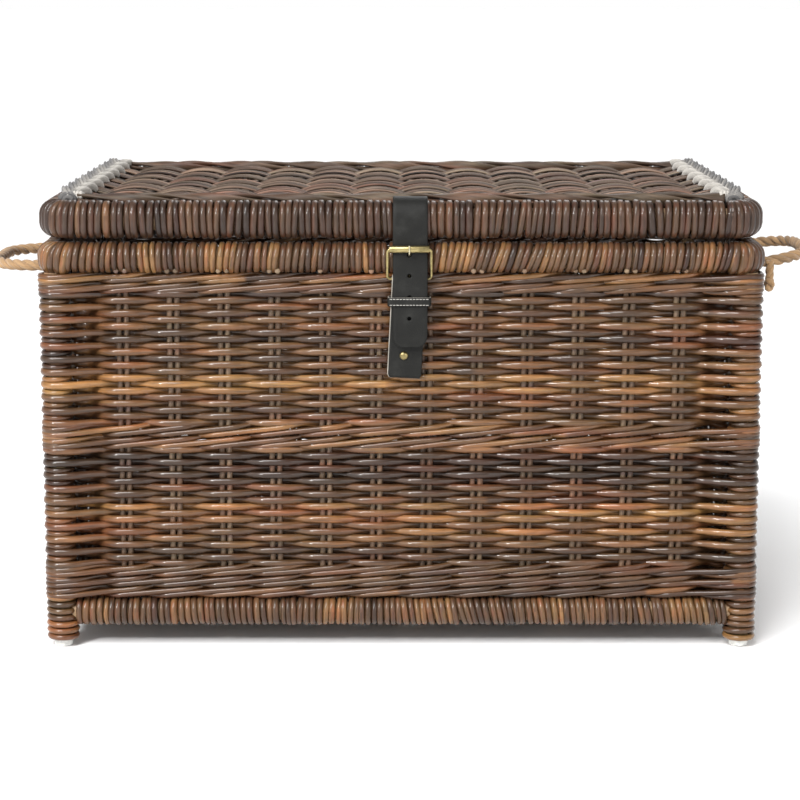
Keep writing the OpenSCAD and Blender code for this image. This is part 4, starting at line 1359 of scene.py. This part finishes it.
def loop_line(reach, span, bend, step=1.6 * MM):
    """The line of a handle, flat and towards +X: out along one leg, across, and back along the other."""
    half = span / 2
    count = 24
    turn = np.linspace(0, np.pi / 2, count)
    legs = np.linspace(0, reach - bend, int((reach - bend) / step))
    leg = np.column_stack([legs, np.full(len(legs), -half)])
    first = np.column_stack([reach - bend + bend * np.sin(turn), -half + bend - bend * np.cos(turn)])[1:]
    across = np.linspace(-half + bend, half - bend, int((span - 2 * bend) / step))
    bar = np.column_stack([np.full(len(across), reach), across])[1:-1]
    far = first[::-1] * [1, -1]
    back = leg[::-1] * [1, -1]
    line = np.concatenate([leg, first, bar, far, back[1:]])
    along = run_length(line)
    s = np.linspace(0, along[-1], int(along[-1] / step))
    return np.stack([np.interp(s, along, line[:, k]) for k in range(2)], -1)


ROPE_R = 6 * MM
HANDLE_Z = low("handle_left")[2] + ROPE_R
PIVOT_X = -high("handle_left")[0] + ROPE_R
HANDLE_SPAN = (high("handle_left") - low("handle_left"))[1] - 2 * ROPE_R
HANDLE_BEND = 55 * MM
HANDLE_REACH = -low("handle_left")[0] - ROPE_R - PIVOT_X
LIFT = math.radians(9)


def knot(sweep, centre, rope_r, size, tint=0.5):
    """A tight overhand knot: a rope round (-1.25 sin 3t, sin t + 2 sin 2t, cos t - 2 cos 2t), times size."""
    t = np.linspace(0, 2 * np.pi, 90, endpoint=False)
    line = track(-1.25 * np.sin(3 * t), np.sin(t) + 2 * np.sin(2 * t), np.cos(t) - 2 * np.cos(2 * t))
    tints = np.clip(tint + 0.1 * np.sin(5 * t), 0, 1)
    sweep.add(np.asarray(centre) + line * size, rope_r, (1, 0.2, 0.1), tints, closed=True)


class TRUNK_OT_tie_handles(bpy.types.Operator):
    """Lay the rope handles, knot them inside the walls and tie the tail"""

    bl_idname = "trunk.tie_handles"
    bl_label = "Tie the handles"

    def execute(self, context):
        rng = np.random.default_rng(settings().weave.seed + 10)
        flat = loop_line(HANDLE_REACH, HANDLE_SPAN, HANDLE_BEND)
        for name, sx, lift in (("left", -1, 0.0), ("right", 1, LIFT)):
            reach = flat[:, 0] / math.cos(lift)
            path = track(sx * (PIVOT_X + reach * math.cos(lift)), MID_Y + flat[:, 1],
                         HANDLE_Z + reach * math.sin(lift))
            rope = Sweep(10)
            up = (-sx * math.sin(lift), 0, math.cos(lift))
            rope_strands(rope, path, up, ROPE_R, 40 * MM, 0.5, 0.08, rng)
            thing = rope.piece("rope_" + name, material("twisted rope"), "handle_" + name, "rope",
                               ["handle_" + name])
            ends = Sweep(10)
            inner = high("handle_anchor_left")[0] - 11 * MM
            for side in (-1, 1):
                y = MID_Y + side * HANDLE_SPAN / 2
                x = np.linspace(inner, -PIVOT_X - 1 * MM, 30)
                stub = track(-sx * x, y, HANDLE_Z)
                rope_strands(ends, stub, (0, 0, 1), ROPE_R, 40 * MM, 0.5, 0.08, rng, start=1.0)
                knot(ends, (-sx * (inner - 1 * MM), y, HANDLE_Z), 4.6 * MM, 3.5 * MM)
            ends.piece("rope_ends_" + name, material("twisted rope"), "basket", "rope",
                       ["handle_anchor_" + name])
        self.tie_tail(rng)
        return {"FINISHED"}

    def tie_tail(self, rng):
        """A short end of rope that hangs down to its knot."""
        (x0, y0, z0), (x1, y1, z1) = box("handle_tail")
        knot_r = 7.5 * MM
        x, y = (x0 + x1) / 2, (y0 + y1) / 2
        tail = Sweep(10)
        z = np.linspace(z1 - 4 * MM, z0 + knot_r, 16)
        rope_strands(tail, track(x, y, z), (1, 0, 0), 4.6 * MM, 26 * MM, 0.6, 0.08, rng)
        knot(tail, (x, y, z0 + knot_r + 1 * MM), 3.3 * MM, 2.0 * MM, 0.75)
        tail.piece("rope_tail", material("twisted rope"), "tail", "rope", ["handle_tail"])


# ---- stage ----


CAMERA_AT = (-0.0012, -2.524, 0.7335)
CAMERA_DOWN = 0.1562
CAMERA_LENS = 94.5
CAMERA_SHIFT = -0.1
FLOOR_REACH = 80.0
# the sky is bright down to the lower height and dims towards the upper one
SKY_HEIGHTS = (0.24, 0.42)
SKY_STRENGTHS = (1.0, 0.34)
SUN_TOWARDS = (0.35, 0.75, -1.1)
SUN_POWER = 3.0
SUN_SPREAD = math.radians(28)
# name, place, the point it shines at, side of the square in metres, watts
LAMPS = (
    ("key", (-1.9, -2.5, 1.9), (0, 0, 0.25), 0.45, 78),
    ("fill", (1.8, -2.2, 1.2), (0, 0, 0.3), 1.2, 12),
    ("back", (0.4, 2.4, 2.2), (0, 0, 0.5), 1.6, 24),
)


class TRUNK_OT_set_stage(bpy.types.Operator):
    """Set the pale floor, the soft lights and the camera"""

    bl_idname = "trunk.set_stage"
    bl_label = "Set the stage"

    def execute(self, context):
        scene = context.scene
        scene.view_settings.view_transform = "Standard"
        mesh = bpy.data.meshes.new("floor")
        corners = [(x * FLOOR_REACH, y * FLOOR_REACH, 0) for x, y in ((-1, -1), (1, -1), (1, 1), (-1, 1))]
        mesh.from_pydata(corners, [], [(0, 1, 2, 3)])
        floor = bpy.data.objects.new("floor", mesh)
        scene.collection.objects.link(floor)
        mesh.materials.append(Paint("pale floor").finished((0.94, 0.94, 0.94, 1), 0.6))

        world = bpy.data.worlds.new("studio")
        scene.world = world
        world.use_nodes = True
        sky = world.node_tree.nodes["Background"]
        sky.inputs["Color"].default_value = (1, 1, 1, 1)
        place = world.node_tree.nodes.new("ShaderNodeTexCoord")
        height = world.node_tree.nodes.new("ShaderNodeSeparateXYZ")
        fade = world.node_tree.nodes.new("ShaderNodeMapRange")
        fade.inputs["From Min"].default_value, fade.inputs["From Max"].default_value = SKY_HEIGHTS
        fade.inputs["To Min"].default_value, fade.inputs["To Max"].default_value = SKY_STRENGTHS
        world.node_tree.links.new(place.outputs["Generated"], height.inputs["Vector"])
        world.node_tree.links.new(height.outputs["Z"], fade.inputs["Value"])
        world.node_tree.links.new(fade.outputs["Result"], sky.inputs["Strength"])

        sun = bpy.data.objects.new("sun", bpy.data.lights.new("sun", "SUN"))
        sun.data.energy = SUN_POWER
        sun.data.angle = SUN_SPREAD
        sun.rotation_euler = Vector(SUN_TOWARDS).to_track_quat("-Z", "Y").to_euler()
        scene.collection.objects.link(sun)

        for name, at, aim, size, power in LAMPS:
            light = bpy.data.lights.new(name, "AREA")
            light.shape = "SQUARE"
            light.size = size
            light.energy = power
            lamp = bpy.data.objects.new(name, light)
            lamp.location = at
            lamp.rotation_euler = (Vector(aim) - Vector(at)).to_track_quat("-Z", "Y").to_euler()
            scene.collection.objects.link(lamp)

        camera = bpy.data.objects.new("camera", bpy.data.cameras.new("camera"))
        camera.location = CAMERA_AT
        camera.rotation_euler = (math.pi / 2 - CAMERA_DOWN, 0, 0)
        camera.data.lens = CAMERA_LENS
        camera.data.shift_y = CAMERA_SHIFT
        scene.collection.objects.link(camera)
        scene.camera = camera
        return {"FINISHED"}


# ---- the add-on ----


OPERATORS = [
    TRUNK_OT_set_stage,
    TRUNK_OT_tie_handles,
    TRUNK_OT_weave_walls,
    TRUNK_OT_set_stakes,
    TRUNK_OT_trim_stakes,
    TRUNK_OT_twist_wales,
    TRUNK_OT_wind_posts,
    TRUNK_OT_wrap_rails,
    TRUNK_OT_wrap_base,
    TRUNK_OT_lay_floor,
    TRUNK_OT_weave_lid,
    TRUNK_OT_twist_border,
    TRUNK_OT_plait_ends,
    TRUNK_OT_hang_strap,
    TRUNK_OT_fold_buckle_strap,
    TRUNK_OT_make_buckle,
    TRUNK_OT_set_rivet,
    TRUNK_OT_finish_hinges,
    TRUNK_OT_fit_glides,
]


class TRUNK_PT_sidebar(bpy.types.Panel):
    """Lists the trunk's sizes, colours and steps"""

    bl_idname = "TRUNK_PT_sidebar"
    bl_label = "Rattan Trunk"
    bl_space_type = "VIEW_3D"
    bl_region_type = "UI"
    bl_category = "Trunk"

    def draw(self, context):
        trunk = context.scene.trunk
        for group in (trunk.weave, trunk.lid, trunk.finish):
            box = self.layout.box()
            for key in group.bl_rna.properties.keys():
                if key not in ("rna_type", "name"):
                    box.prop(group, key)
        for operator in OPERATORS:
            self.layout.operator(operator.bl_idname)


CLASSES = [WeaveSizes, LidSizes, Finishes, TrunkSettings, *OPERATORS, TRUNK_PT_sidebar]


def register():
    for cls in CLASSES:
        bpy.utils.register_class(cls)
    bpy.types.Scene.trunk = PointerProperty(type=TrunkSettings)


def unregister():
    del bpy.types.Scene.trunk
    for cls in reversed(CLASSES):
        bpy.utils.unregister_class(cls)


def main():
    """Registers the add-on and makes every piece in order."""
    register()
    for operator in OPERATORS:
        group, name = operator.bl_idname.split(".")
        getattr(getattr(bpy.ops, group), name)()


if __name__ == "__main__":
    main()
